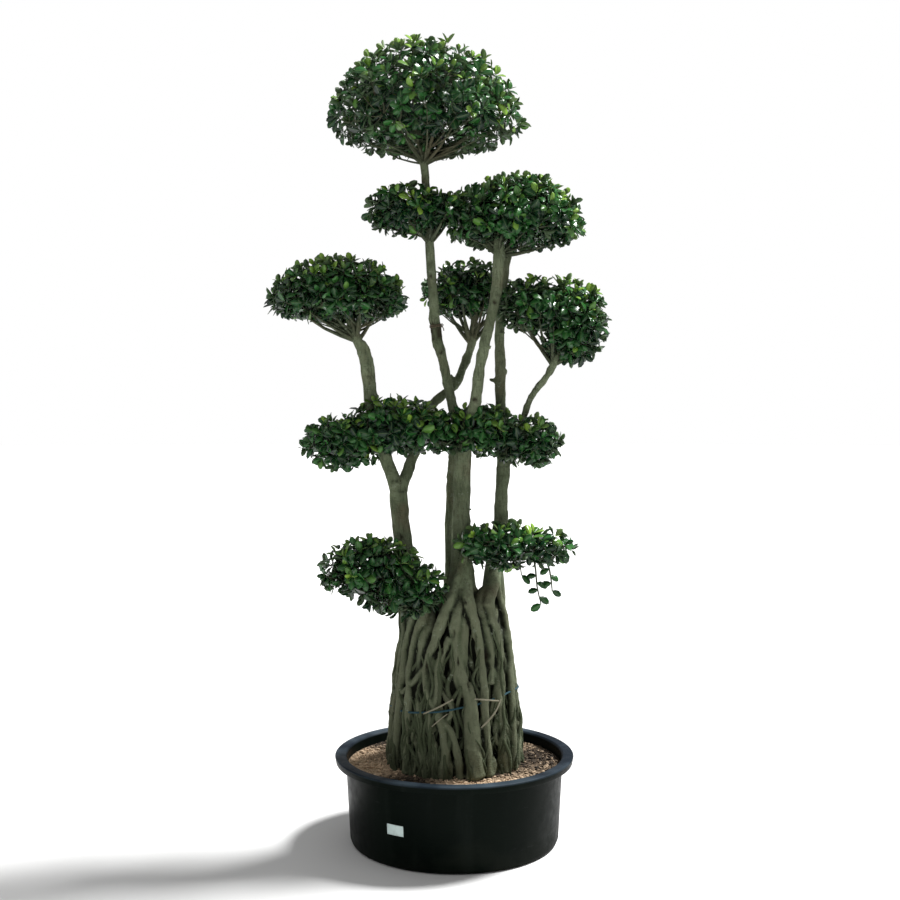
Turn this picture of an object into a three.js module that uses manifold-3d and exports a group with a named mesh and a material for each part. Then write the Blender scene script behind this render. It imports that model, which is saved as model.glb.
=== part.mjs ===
// A Chinese banyan (Ficus microcarpa) grown as a large cloud-pruned bonsai: a clump of fused aerial
// roots, five trunks and ten clipped heads of leaves, standing in a round plastic nursery tub.
// Millimetres, +Z up, origin on the ground under the middle of the tub, -Y towards the viewer and
// +X to the viewer's right.
import * as THREE from 'three';
import { mergeVertices } from 'three/addons/utils/BufferGeometryUtils.js';
import Module from 'manifold-3d';

const wasm = await Module();
wasm.setup();

// Between any two pieces that meet
const CLEARANCE = 0.3;

// Tub
const TUB_HEIGHT = 362;
const SHOULDER_HEIGHT = 354;
const FOOT_CORNER = 20;
const RIM_RADIUS = 500;
const RIM_WIDTH = 42;
const RIM_ROUND = 3;
const LIP_DEPTH = 30;
const LIP_RADIUS = 495;
const LIP_THICKNESS = 6;
const SHOULDER_RADIUS = 455;
const FOOT_RADIUS = 437;
const WALL = 5;
const FLOOR = 8;
const TUB_SIDES = 40;
const DRAIN_HOLES = 8;
const DRAIN_RADIUS = 11;
const DRAIN_CIRCLE = 350;
const LUG_SIZE = [26, 34, 50];
const LUG_REACH = 465;
const LUG_BEARINGS = [-73, 107];

// Soil
const SOIL_TOP = 324;
const SOIL_RELIEF = 4;
const SOIL_RINGS = [370, 200];

// Root clump: its radius falls from the soil to the crotch of the trunks
const CLUMP_FOOT_RADIUS = 284;
const CLUMP_TOP_RADIUS = 200;
const CLUMP_TOP = 1010;
const ROOT_BALL_DEPTH = 130;
const CLUMP_RIDGES = 27;
const RIDGE_DEPTH = 20;
const RIDGE_SWING = 0.11;
const BACK_ROOTS = 4;
const ROOT_SIDES = 4;
const TRUNK_SIDES = 6;
const TWIG_SIDES = 3;

// Leaves, drawn larger than life so that a few cover each head
const LEAF_LENGTH = 154;
const LEAF_WIDTH = 108;
const LEAF_THICKNESS = 6;
const LEAF_SINK = 9;
const LEAF_SPACING = 113;
const UNDERSIDE_SPACING = 215;
const LEAF_TRIES = 12;
const FOOT_TRIALS = 900;
const SPRIG_LEAVES = 5;
const SPRIG_SINK = 3;
const SPRIG_LEAF_SIZE = 0.45;
const HEAD_SHELL = 45;
const FULL_LEAF_HEAD = 330;
const SMALLEST_LEAF = 0.72;
const CORE_ROUGHNESS = 0.09;

// Cord, twine and sticker
const TIE_RADIUS = 4;
const TIE_HEIGHT = 605;
const TIE_SLOPE = 0.16;
const TWINE_RADIUS = 2.5;
const TWINE_GIRTH = 22.5;
const TWINE_MIDDLE = [-78, 16, 2150];
const TWINE_LINE = [-0.1, -0.08, 0.99];
const LABEL_SIZE = [76, 0.6, 42];
const LABEL_HEIGHT = 158;
const LABEL_BEARING = -31.5;

// Trunks and boughs, each point [x, y, z, radius]
const TRUNKS = {
  left: [[-165, 0, 850, 60], [-182, 0, 1000, 50], [-190, 0, 1085, 44], [-204, 0, 1190, 40],
    [-221, 0, 1295, 38], [-234, 0, 1455, 40]],
  leftOuter: [[-232, 0, 1425, 30], [-260, -10, 1525, 28], [-295, -30, 1625, 28], [-324, -50, 1725, 25],
    [-350, -60, 1810, 22], [-357, -60, 1900, 21], [-370, -60, 1990, 21], [-390, -60, 2060, 20],
    [-425, -60, 2150, 21], [-445, -55, 2225, 14]],
  leftInner: [[-230, 0, 1425, 28], [-207, 20, 1515, 24], [-175, 60, 1605, 24], [-138, 110, 1715, 21],
    [-96, 160, 1820, 19], [-44, 190, 1870, 18], [4, 210, 1910, 19], [39, 220, 1985, 19],
    [69, 230, 2063, 19], [87, 240, 2160, 18], [90, 245, 2250, 12]],
  centre: [[34, -85, 800, 78], [32, -75, 940, 80], [32, -62, 1055, 62], [30, -52, 1155, 49],
    [30, -45, 1260, 40], [31, -40, 1425, 36], [34, -50, 1570, 36], [38, -50, 1665, 34]],
  centreRight: [[38, -50, 1640, 30], [48, -65, 1708, 25], [66, -80, 1765, 24], [84, -90, 1820, 25],
    [104, -100, 1970, 23], [146, -100, 2160, 22], [166, -90, 2250, 23], [179, -80, 2350, 25],
    [184, -70, 2455, 25], [190, -55, 2600, 15]],
  centreLeft: [[38, -50, 1640, 30], [19, -20, 1716, 24], [-11, 10, 1828, 22], [-27, 20, 1912, 22],
    [-49, 20, 2009, 21], [-74, 20, 2105, 23], [-90, 0, 2295, 20], [-99, 0, 2424, 21],
    [-110, 0, 2590, 19], [-125, 0, 2818, 17], [-130, 0, 2880, 18], [-139, 0, 2985, 13]],
  right: [[150, 45, 850, 60], [158, 50, 1040, 41], [162, 50, 1122, 35], [181, 50, 1228, 33],
    [196, 50, 1334, 32], [202, 60, 1460, 28], [209, 60, 1555, 31]],
  rightUpper: [[208, 60, 1530, 28], [203, 70, 1672, 24], [199, 80, 1778, 23], [197, 90, 1927, 23],
    [197, 110, 2226, 21], [204, 110, 2310, 20], [216, 110, 2405, 20], [232, 104, 2500, 20],
    [246, 90, 2610, 13]],
  rightOuter: [[208, 60, 1530, 22], [231, 50, 1622, 18], [260, 35, 1690, 16], [289, 20, 1757, 14],
    [321, 10, 1853, 15], [381, 0, 1933, 14], [423, -15, 2011, 15], [445, -10, 2110, 11]],
  back: [[-22, 120, 850, 30], [-22, 120, 1070, 21], [-20, 120, 1242, 20], [-18, 115, 1414, 19],
    [-12, 100, 1544, 19], [3, 50, 1673, 18], [12, -10, 1740, 16]],
  lowLeftBough: [[-205, 0, 1150, 26], [-222, -55, 1165, 18], [-250, -120, 1150, 15],
    [-285, -170, 1130, 10]],
  lowRightBough: [[188, 45, 1200, 24], [215, -20, 1225, 18], [240, -85, 1240, 15],
    [262, -140, 1240, 10]],
  leftSaddle: [[-165, 0, 930, 52], [-60, -35, 925, 55], [40, -60, 930, 60]],
  rightSaddle: [[50, -55, 985, 50], [105, -5, 1000, 42], [158, 48, 990, 48]],
};

// Roots that catch the eye, each point [bearing, height, radius] on the face of the clump, with the
// bearing in degrees from the viewer's side towards +X
const SHOWN_ROOTS = [
  [[2, 960, 26], [2, 843, 24], [7, 734, 25], [13, 651, 28], [15, 556, 32], [16, 454, 38],
    [17, 335, 44]],
  [[18, 1010, 24], [25, 910, 20], [28, 760, 18], [28, 516, 17], [30, 335, 18]],
  [[-8, 1000, 24], [-20, 880, 20], [-28, 765, 18], [-26, 674, 17], [-16, 592, 17], [-9, 503, 20],
    [-9, 335, 24]],
  [[-4, 880, 18], [-15, 787, 17], [-16, 678, 17], [-18, 600, 15]],
  [[-28, 765, 15], [-43, 689, 14], [-58, 640, 12]],
  [[-16, 585, 14], [-5, 523, 14], [2, 433, 15], [5, 335, 16]],
  [[46, 1000, 26], [52, 819, 22], [44, 664, 18], [45, 504, 18], [48, 335, 20]],
  [[88, 1090, 13], [87, 953, 14], [80, 818, 16], [66, 646, 16], [62, 500, 15], [60, 335, 16]],
  [[-56, 1000, 30], [-59, 814, 22], [-59, 611, 18], [-61, 335, 18]],
  [[-40, 1000, 26], [-47, 821, 20], [-46, 622, 17], [-44, 335, 17]],
];

// Heads of foliage: each lobe is [x, y, z, half width, half depth, rise, drop] of its leafy outline
// round its widest level, and fork is the point on the wood that its fan of twigs leaves from
const HEADS = {
  crown: { fork: [-126, 0, 2820], twigs: 5, lobes: [[-120, 0, 2985, 402, 370, 352, 110]] },
  upper_left: { fork: [-104, 0, 2490], twigs: 1, lobes: [[-190, -10, 2620, 185, 170, 120, 105]] },
  upper_right: {
    fork: [184, -68, 2430], twigs: 2,
    lobes: [[255, 30, 2560, 285, 270, 225, 95], [75, 90, 2655, 130, 130, 110, 80]],
  },
  left: { fork: [-398, -60, 2080], twigs: 4, lobes: [[-480, -50, 2235, 295, 270, 214, 80]] },
  back: { fork: [75, 232, 2085], twigs: 3, lobes: [[65, 265, 2300, 205, 180, 160, 100]] },
  right: {
    fork: [410, -10, 1985], twigs: 3,
    lobes: [[370, 10, 2210, 205, 190, 150, 95], [500, 0, 2160, 152, 155, 205, 155]],
  },
  middle_left: {
    fork: [-318, -48, 1700], twigs: 1,
    lobes: [[-460, -75, 1665, 185, 165, 130, 120], [-240, -60, 1715, 235, 190, 155, 105]],
  },
  middle_right: {
    fork: [204, 70, 1640], twigs: 1,
    lobes: [[315, 20, 1675, 165, 160, 120, 110], [115, 30, 1730, 165, 160, 125, 110]],
  },
  low_left: {
    fork: [-250, -120, 1150], twigs: 1,
    lobes: [[-335, -190, 1140, 215, 170, 150, 110], [-215, -200, 1075, 185, 150, 130, 120]],
  },
  low_right: {
    fork: [240, -85, 1240], twigs: 1,
    sprig: [[345, -150, 1230, 6], [338, -152, 1110, 5], [347, -150, 1010, 4]],
    lobes: [[365, -130, 1235, 135, 140, 85, 80], [200, -150, 1255, 205, 160, 100, 85]],
  },
};

const FINISHES = {
  tub: { color: 0x15181a, roughness: 0.42, metalness: 0 },
  soil: { color: 0x4b3527, roughness: 0.95, metalness: 0 },
  wood: { color: 0x6b6754, roughness: 0.85, metalness: 0 },
  foliage: { color: 0x23441f, roughness: 0.4, metalness: 0 },
  tie: { color: 0x17474b, roughness: 0.6, metalness: 0 },
  twine: { color: 0x6a5136, roughness: 0.9, metalness: 0 },
  label: { color: 0xbdd2cc, roughness: 0.5, metalness: 0 },
};

const radians = THREE.MathUtils.degToRad;
THREE.MathUtils.seededRandom(20);
const draw = (low, high) => low + (high - low) * THREE.MathUtils.seededRandom();

// Turns a closed three.js geometry into a solid that can be joined and cut.
function solid(geometry) {
  const bare = new THREE.BufferGeometry();
  bare.setAttribute('position', geometry.getAttribute('position'));
  bare.setIndex(geometry.getIndex());
  const merged = mergeVertices(bare, 1e-3);
  const corners = merged.getIndex().array;
  const triangles = [];
  for (let i = 0; i < corners.length; i += 3) {
    const [a, b, c] = corners.slice(i, i + 3);
    if (a !== b && b !== c && c !== a) triangles.push(a, b, c);
  }
  return new wasm.Manifold(new wasm.Mesh({
    numProp: 3,
    vertProperties: merged.getAttribute('position').array,
    triVerts: Uint32Array.from(triangles),
  }));
}

const join = (solids) => wasm.Manifold.union(solids);

function placed(geometry, position, [tilt, roll, turn] = [0, 0, 0]) {
  return solid(geometry.rotateX(tilt).rotateY(roll).rotateZ(turn).translate(...position));
}

// The largest of the bodies that a cut leaves; the loose scraps are dropped.
function largestBody(shape) {
  return shape.decompose().reduce((best, body) => (body.volume() > best.volume() ? body : best));
}

function mesh(name, shape, finish) {
  const { vertProperties, triVerts } = shape.getMesh();
  const geometry = new THREE.BufferGeometry();
  geometry.setAttribute('position', new THREE.BufferAttribute(vertProperties, 3));
  geometry.setIndex(new THREE.BufferAttribute(triVerts, 1));
  geometry.computeVertexNormals();
  const piece = new THREE.Mesh(geometry, new THREE.MeshStandardMaterial({ ...finish, flatShading: true }));
  piece.name = name;
  return piece;
}

// A lathe turned about Z from [radius, height] points.
function turned(profile, sides) {
  const points = profile.map(([radius, height]) => new THREE.Vector2(radius, height));
  return new THREE.LatheGeometry(points, sides).rotateX(Math.PI / 2);
}

// A tapered limb along a route of [x, y, z, radius] points, made fatter and longer by swell.
function limb(route, sides, steps, swell) {
  const spine = new THREE.CatmullRomCurve3(route.map(([x, y, z]) => new THREE.Vector3(x, y, z)));
  const frames = spine.computeFrenetFrames(steps);
  const shape = new THREE.CylinderGeometry(1, 1, 1, sides, steps);
  const corners = shape.getAttribute('position');
  const corner = new THREE.Vector3();
  for (let i = 0; i < corners.count; i += 1) {
    corner.fromBufferAttribute(corners, i);
    const along = corner.y + 0.5;
    const row = Math.round(along * steps);
    const place = spine.getUtoTmapping(along) * (route.length - 1);
    const before = Math.min(Math.floor(place), route.length - 2);
    const radius = THREE.MathUtils.lerp(route[before][3], route[before + 1][3], place - before) + swell;
    const overrun = (row === steps ? swell : 0) - (row === 0 ? swell : 0);
    const point = spine.getPointAt(along)
      .addScaledVector(frames.normals[row], corner.x * radius)
      .addScaledVector(frames.binormals[row], -corner.z * radius)
      .addScaledVector(frames.tangents[row], overrun);
    corners.setXYZ(i, point.x, point.y, point.z);
  }
  return solid(shape);
}

function clumpRadius(height) {
  const climb = Math.max(0, (height - SOIL_TOP) / (CLUMP_TOP - SOIL_TOP));
  return CLUMP_FOOT_RADIUS - (CLUMP_FOOT_RADIUS - CLUMP_TOP_RADIUS) * climb ** 1.6;
}

// A point [x, y, z, radius] for a root that lies in the face of the clump.
function onClump([bearing, height, radius]) {
  const reach = clumpRadius(height) - radius * 0.75;
  return [reach * Math.sin(radians(bearing)), -reach * Math.cos(radians(bearing)), height, radius];
}

// Thicker roots on the side of the clump that faces away from the viewer.
function backRoots() {
  const routes = [];
  for (let i = 0; i < BACK_ROOTS; i += 1) {
    const bearing = THREE.MathUtils.mapLinear(i, 0, BACK_ROOTS - 1, 105, 285) + draw(-6, 6);
    const girth = draw(15, 22);
    const drift = draw(-14, 14);
    const levels = [[960, 1.3], [800, 1], [630, 0.95], [480, 1], [SOIL_TOP + 8, 1.15]];
    routes.push(levels.map(([height, share], step) => onClump([
      bearing + drift * Math.sin(step * 1.3), height, girth * share,
    ])));
  }
  return routes;
}

const rootRoutes = [...SHOWN_ROOTS.map((root) => root.map(onClump)), ...backRoots()];

// Twigs that fan out from a fork on the wood into the underside of a head.
function fan({ fork, twigs, lobes }) {
  const routes = [];
  for (let i = 0; i < twigs; i += 1) {
    const [x, y, z, width, depth] = lobes[i % lobes.length];
    const bearing = ((i + 0.5) / twigs) * 2 * Math.PI + draw(-0.3, 0.3);
    const end = [x + Math.cos(bearing) * width * 0.5, y + Math.sin(bearing) * depth * 0.5, z - draw(0, 12)];
    const middle = end.map((value, axis) => THREE.MathUtils.lerp(fork[axis], value, 0.5));
    middle[2] -= 14;
    routes.push([[...fork, 11], [...middle, 8], [...end, 6]]);
  }
  return routes;
}

const fanRoutes = Object.values(HEADS).flatMap(fan);

// The clump's own face: a lathe form raised into side-by-side roots that swing as they come down.
function clump(swell) {
  const ballBottom = SOIL_TOP - ROOT_BALL_DEPTH - swell;
  const ballRadius = CLUMP_FOOT_RADIUS + swell;
  const levels = [SOIL_TOP + 4, 430, 540, 650, 760, 860, 950];
  const form = turned([
    [0, ballBottom], [ballRadius, ballBottom], [ballRadius, SOIL_TOP - 6 + swell],
    ...levels.map((height) => [clumpRadius(height) + swell, height]),
    [110, 990 + swell], [0, 990 + swell],
  ], CLUMP_RIDGES * 2);
  const points = form.getAttribute('position');
  const lastRow = levels.length + 2;
  for (let i = 0; i < points.count; i += 1) {
    const row = i % (lastRow + 3);
    if (row < 3 || row > lastRow) continue;
    const column = Math.floor(i / (lastRow + 3)) % (CLUMP_RIDGES * 2);
    const height = points.getZ(i);
    const valley = column % 2 ? RIDGE_DEPTH : 0;
    const fade = (RIDGE_DEPTH / 3) * (1 + Math.sin(column * 1.9 + height / 110));
    const reach = Math.hypot(points.getX(i), points.getY(i)) - valley - fade;
    const bearing = Math.atan2(points.getY(i), points.getX(i));
    const swing = RIDGE_SWING * Math.min(1, (height - SOIL_TOP) / 200);
    const swung = bearing + swing * Math.sin(2 * bearing + height / 95);
    points.setXY(i, reach * Math.cos(swung), reach * Math.sin(swung));
  }
  return solid(form);
}

// The whole grown tree as one solid: root ball, clump, roots, trunks, boughs and twigs. A hollow that
// joining seals is filled, because only the outer skin is kept.
function tree(swell) {
  return largestBody(join([
    clump(swell),
    ...rootRoutes.map((route) => limb(route, ROOT_SIDES, route.length - 1, swell)),
    ...Object.values(TRUNKS).map((route) => limb(route, TRUNK_SIDES, route.length - 1, swell)),
    ...fanRoutes.map((route) => limb(route, TWIG_SIDES, 2, swell)),
  ]));
}

function tub() {
  const shell = turned([
    [0, 0], [FOOT_RADIUS - FOOT_CORNER, 0], [FOOT_RADIUS, FOOT_CORNER],
    [SHOULDER_RADIUS, SHOULDER_HEIGHT], [LIP_RADIUS - LIP_THICKNESS, SHOULDER_HEIGHT],
    [LIP_RADIUS - LIP_THICKNESS, TUB_HEIGHT - LIP_DEPTH], [LIP_RADIUS, TUB_HEIGHT - LIP_DEPTH],
    [RIM_RADIUS, TUB_HEIGHT - RIM_ROUND], [RIM_RADIUS - RIM_ROUND, TUB_HEIGHT],
    [RIM_RADIUS - RIM_WIDTH, TUB_HEIGHT], [SHOULDER_RADIUS - WALL, SHOULDER_HEIGHT],
    [FOOT_RADIUS - WALL, FOOT_CORNER + WALL], [FOOT_RADIUS - FOOT_CORNER - WALL, FLOOR], [0, FLOOR],
  ], TUB_SIDES);
  const lugs = LUG_BEARINGS.map((bearing) => {
    const turn = radians(bearing);
    const spot = [LUG_REACH * Math.sin(turn), -LUG_REACH * Math.cos(turn), TUB_HEIGHT - LIP_DEPTH];
    return placed(new THREE.BoxGeometry(...LUG_SIZE), spot, [0, 0, turn]);
  });
  const drains = Array.from({ length: DRAIN_HOLES }, (unused, i) => {
    const turn = ((i + 0.5) * 2 * Math.PI) / DRAIN_HOLES;
    const punch = new THREE.CylinderGeometry(DRAIN_RADIUS, DRAIN_RADIUS, FLOOR * 3, 8).rotateX(Math.PI / 2);
    return placed(punch, [DRAIN_CIRCLE * Math.sin(turn), DRAIN_CIRCLE * Math.cos(turn), FLOOR / 2]);
  });
  return join([solid(shell), ...lugs]).subtract(join(drains));
}

function soil(treeSpace) {
  const [floor, corner] = [FLOOR + CLEARANCE, FOOT_CORNER + WALL + CLEARANCE];
  const [low, high] = [FOOT_RADIUS, SHOULDER_RADIUS].map((radius) => radius - WALL - CLEARANCE * 1.2);
  const wall = (height) => (
    THREE.MathUtils.mapLinear(height, FOOT_CORNER + WALL, SHOULDER_HEIGHT, low, high)
  );
  const fill = turned([
    [0, floor], [FOOT_RADIUS - FOOT_CORNER - WALL - CLEARANCE, floor], [wall(corner), corner],
    [wall(SOIL_TOP), SOIL_TOP], ...SOIL_RINGS.map((reach) => [reach, SOIL_TOP]), [0, SOIL_TOP],
  ], TUB_SIDES);
  const points = fill.getAttribute('position');
  for (let i = 0; i < points.count; i += 1) {
    const reach = Math.hypot(points.getX(i), points.getY(i));
    if (points.getZ(i) > SOIL_TOP - 1 && Math.abs(reach - SOIL_RINGS[0]) < 1) {
      const ripple = Math.sin(points.getX(i) * 0.031) + Math.sin(points.getY(i) * 0.047);
      points.setZ(i, SOIL_TOP + SOIL_RELIEF * ripple);
    }
  }
  return solid(fill).subtract(treeSpace);
}

// One leaf blade: a thin lens of five corners with its blunt stalk end at the origin and its pointed
// tip towards +X, arched along its length.
function leaf(size, curl) {
  const blade = new THREE.SphereGeometry(1, 5, 2).rotateY(Math.PI);
  const points = blade.getAttribute('position');
  for (let i = 0; i < points.count; i += 1) {
    const along = (points.getX(i) + 0.81) / 1.81;
    points.setXYZ(
      i,
      LEAF_LENGTH * size * along,
      (-LEAF_WIDTH * size * points.getZ(i)) / 1.9,
      (LEAF_THICKNESS * points.getY(i)) / 2 - curl * along * along,
    );
  }
  return blade;
}

// A blade that leaves the core at a foot point and hangs down the head's face like a shingle whose free
// end stands off it. It may swing further to either side each time that it is drawn again.
function placedLeaf({ foot, outward, share }, attempt) {
  const swing = 24 + attempt * 10;
  const downhill = new THREE.Vector3(outward.x, outward.y, -1).projectOnPlane(outward).normalize();
  const sideways = downhill.applyAxisAngle(outward, radians(draw(-swing, swing)));
  const rise = radians(draw(20, 36));
  const forward = outward.clone().multiplyScalar(Math.sin(rise)).addScaledVector(sideways, Math.cos(rise));
  const face = outward.clone().projectOnPlane(forward).normalize();
  const across = new THREE.Vector3().crossVectors(face, forward);
  const turn = new THREE.Matrix4().makeBasis(forward, across, face);
  turn.setPosition(foot);
  const size = share * draw(0.88, 1.12);
  const curl = draw(2, 14);
  return leaf(size, curl).applyMatrix4(turn);
}

// The share of the full leaf size that a lobe's leaves have: the flatter the lobe, the smaller.
function leafShare(lobe) {
  const [rise, drop] = lobe.slice(-2);
  return THREE.MathUtils.clamp((rise + drop) / FULL_LEAF_HEAD, SMALLEST_LEAF, 1);
}

// The core of a lobe: a flattened, lumpy ball, lower below its widest level.
function core(lobe) {
  const [x, y, z, width, depth, rise, drop] = lobe;
  const shell = HEAD_SHELL * leafShare(lobe);
  const ball = new THREE.SphereGeometry(1, 10, 6).rotateX(Math.PI / 2);
  const points = ball.getAttribute('position');
  for (let i = 0; i < points.count; i += 1) {
    const turn = Math.atan2(points.getY(i), points.getX(i));
    const lump = 1 + CORE_ROUGHNESS * Math.sin(5 * turn + 9 * points.getZ(i)) * (1 - points.getZ(i) ** 2);
    points.setXY(i, points.getX(i) * lump, points.getY(i) * lump);
    const up = points.getZ(i);
    points.setXYZ(
      i,
      x + points.getX(i) * (width - shell),
      y + points.getY(i) * (depth - shell),
      z + up * ((up > 0 ? rise : drop) - shell),
    );
  }
  return ball;
}

// Whether a point lies inside a lobe's leafy outline, drawn in by a margin.
function inside([x, y, z, width, depth, rise, drop], point, margin) {
  const up = point.z - z;
  const tall = (up > 0 ? rise : drop) - margin;
  return Math.hypot((point.x - x) / (width - margin), (point.y - y) / (depth - margin), up / tall) < 1;
}

// Feet of the leaves of a lobe: the points where rays from its middle, spread by the golden angle,
// leave its core, each sunk under the facet it is on and kept a spacing apart from the rest.
function leafFeet(lobe) {
  const [x, y, z, width, depth, rise, drop] = lobe;
  const middle = new THREE.Vector3(x, y, z);
  const share = leafShare(lobe);
  const skin = new THREE.Mesh(core(lobe), new THREE.MeshStandardMaterial({ side: THREE.DoubleSide }));
  const feet = [];
  for (let i = 0; i < FOOT_TRIALS; i += 1) {
    const up = 1 - (2 * (i + 0.5)) / FOOT_TRIALS;
    const turn = i * Math.PI * (3 - Math.sqrt(5));
    const flat = Math.sqrt(1 - up * up);
    const tall = up > 0 ? rise : drop;
    const along = new THREE.Vector3(flat * Math.cos(turn) * width, flat * Math.sin(turn) * depth, up * tall);
    const [{ point }] = new THREE.Raycaster(middle, along.normalize()).intersectObject(skin);
    const outward = point.clone().sub(middle)
      .divide(new THREE.Vector3(width ** 2, depth ** 2, tall ** 2)).normalize();
    const foot = point.addScaledVector(outward, -LEAF_SINK);
    const spacing = (outward.z < -0.3 ? UNDERSIDE_SPACING : LEAF_SPACING) * Math.sqrt(share);
    if (feet.every((other) => other.foot.distanceTo(foot) > spacing)) feet.push({ foot, outward, share });
  }
  return feet;
}

// Feet of the leaves along a hanging sprig, each turned well away from the one before.
function sprigFeet(route) {
  const spine = new THREE.CatmullRomCurve3(route.map(([x, y, z]) => new THREE.Vector3(x, y, z)));
  return Array.from({ length: SPRIG_LEAVES }, (unused, i) => {
    const outward = new THREE.Vector3(Math.cos(i * 2.5), Math.sin(i * 2.5), -0.5).normalize();
    const foot = spine.getPointAt(0.2 + (0.8 * i) / (SPRIG_LEAVES - 1)).addScaledVector(outward, -SPRIG_SINK);
    return { foot, outward, share: SPRIG_LEAF_SIZE };
  });
}

// One head of foliage: leaves all over its lobes, fused to their cores, clear of the wood and of the
// other heads. A leaf is drawn again where it would cross another, and left out in the end.
function head({ lobes, sprig }, treeSpace, others) {
  const bodies = lobes.map((lobe) => solid(core(lobe)));
  const feet = lobes.flatMap((lobe) => leafFeet(lobe).filter(({ foot }) => (
    lobes.every((other) => other === lobe || !inside(other, foot, HEAD_SHELL))
  )));
  if (sprig) {
    bodies.push(limb(sprig, TWIG_SIDES, 4, 0));
    feet.push(...sprigFeet(sprig));
  }
  const blades = [];
  for (const place of feet) {
    const near = blades.filter((blade) => blade.foot.distanceTo(place.foot) < 2 * LEAF_LENGTH);
    const taken = [...near.map((blade) => blade.shape), ...others];
    for (let attempt = 0; attempt < LEAF_TRIES; attempt += 1) {
      const shape = solid(placedLeaf(place, attempt));
      if (taken.some((other) => !other.intersect(shape).isEmpty())) continue;
      blades.push({ foot: place.foot, shape });
      break;
    }
  }
  return largestBody(join([...bodies, ...blades.map((blade) => blade.shape)]).subtract(treeSpace));
}

// The loop that a taut cord makes round flat points: their convex outline, anticlockwise.
function tautLoop(points) {
  const sorted = [...points].sort((p, q) => p[0] - q[0] || p[1] - q[1]);
  const turnsRight = ([ax, ay], [bx, by], [cx, cy]) => (bx - ax) * (cy - ay) - (by - ay) * (cx - ax) <= 0;
  const half = (run) => run.reduce((chain, point) => {
    while (chain.length > 1 && turnsRight(chain.at(-2), chain.at(-1), point)) chain.pop();
    return [...chain, point];
  }, []).slice(0, -1);
  return [...half(sorted), ...half([...sorted].reverse())];
}

// Where a sloping plane cuts a solid's faces, as flat points.
function cutPoints(shape, levelAt) {
  const { vertProperties, triVerts } = shape.getMesh();
  const corner = (index) => new THREE.Vector3().fromArray(vertProperties, index * 3);
  const points = [];
  for (let i = 0; i < triVerts.length; i += 3) {
    const [a, b, c] = [0, 1, 2].map((step) => corner(triVerts[i + step]));
    for (const [from, to] of [[a, b], [b, c], [c, a]]) {
      const [below, above] = [levelAt(from.x) - from.z, to.z - levelAt(to.x)];
      if (below > 0 && above > 0) {
        const cut = from.clone().lerp(to, below / (below + above));
        points.push([cut.x, cut.y]);
      }
    }
  }
  return points;
}

// The cord round the clump, pulled tight over the roots that stand furthest out.
function rootTie(treeSpace) {
  const levelAt = (x) => TIE_HEIGHT + TIE_SLOPE * x;
  const rise = [-TIE_RADIUS, 0, TIE_RADIUS];
  const touched = rise.flatMap((step) => cutPoints(treeSpace, (x) => levelAt(x) + step));
  const loop = tautLoop(touched).map(([x, y]) => {
    const outside = 1 + TIE_RADIUS / Math.hypot(x, y);
    return new THREE.Vector3(x * outside, y * outside, levelAt(x));
  });
  const route = new THREE.CatmullRomCurve3(loop, true);
  return largestBody(solid(new THREE.TubeGeometry(route, 34, TIE_RADIUS, 5, true)).subtract(treeSpace));
}

// Two turns of twine, side by side, round the trunk that carries the crown.
function trunkTwine(treeSpace) {
  const [near, far] = [TWINE_GIRTH + TWINE_RADIUS * 0.4, TWINE_GIRTH + TWINE_RADIUS * 2];
  const ring = turned([
    [near, -TWINE_RADIUS * 2], [far, -TWINE_RADIUS * 1.4], [far, -TWINE_RADIUS * 0.6], [far * 0.95, 0],
    [far, TWINE_RADIUS * 0.6], [far, TWINE_RADIUS * 1.4], [near, TWINE_RADIUS * 2], [near, -TWINE_RADIUS * 2],
  ], 14);
  const along = new THREE.Vector3(...TWINE_LINE).normalize();
  const lean = new THREE.Quaternion().setFromUnitVectors(new THREE.Vector3(0, 0, 1), along);
  return largestBody(solid(ring.applyQuaternion(lean).translate(...TWINE_MIDDLE)).subtract(treeSpace));
}

// The blank sticker lies flat on one facet of the tub's wall.
function label() {
  const lean = Math.atan2(SHOULDER_RADIUS - FOOT_RADIUS, SHOULDER_HEIGHT - FOOT_CORNER);
  const level = THREE.MathUtils.mapLinear(
    LABEL_HEIGHT, FOOT_CORNER, SHOULDER_HEIGHT, FOOT_RADIUS, SHOULDER_RADIUS);
  const facet = level * Math.cos(Math.PI / TUB_SIDES);
  const reach = facet + CLEARANCE + LABEL_SIZE[1];
  const turn = radians(LABEL_BEARING);
  const plate = new THREE.BoxGeometry(...LABEL_SIZE);
  return placed(plate, [reach * Math.sin(turn), -reach * Math.cos(turn), LABEL_HEIGHT], [lean, 0, turn]);
}

const wood = tree(0);
const treeSpace = tree(CLEARANCE);

const bonsai = new THREE.Group();
bonsai.add(
  mesh('tub', tub(), FINISHES.tub),
  mesh('soil', soil(treeSpace), FINISHES.soil),
  mesh('wood', wood, FINISHES.wood),
  mesh('root_tie', rootTie(treeSpace), FINISHES.tie),
  mesh('trunk_twine', trunkTwine(treeSpace), FINISHES.twine),
  mesh('label', label(), FINISHES.label),
);

const plans = Object.entries(HEADS);
const heads = [];
plans.forEach(([name, plan], order) => {
  const lobesToCome = plans.slice(order + 1).flatMap(([, { lobes }]) => lobes);
  const coresToCome = lobesToCome.map((lobe) => solid(core(lobe)));
  const shape = head(plan, treeSpace, [...heads, ...coresToCome]);
  heads.push(shape);
  bonsai.add(mesh(`foliage_${name}`, shape, FINISHES.foliage));
});

export default bonsai;
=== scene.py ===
"""A cloud-pruned Chinese banyan in its round nursery tub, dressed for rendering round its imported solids.

Metres, +Z up, with the origin on the ground under the middle of the tub. -Y is the viewer's side.
"""
import math
import random
from random import gauss, uniform

import bmesh
import bpy
import numpy as np
from mathutils import Matrix, Vector, noise
from mathutils.bvhtree import BVHTree


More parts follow.
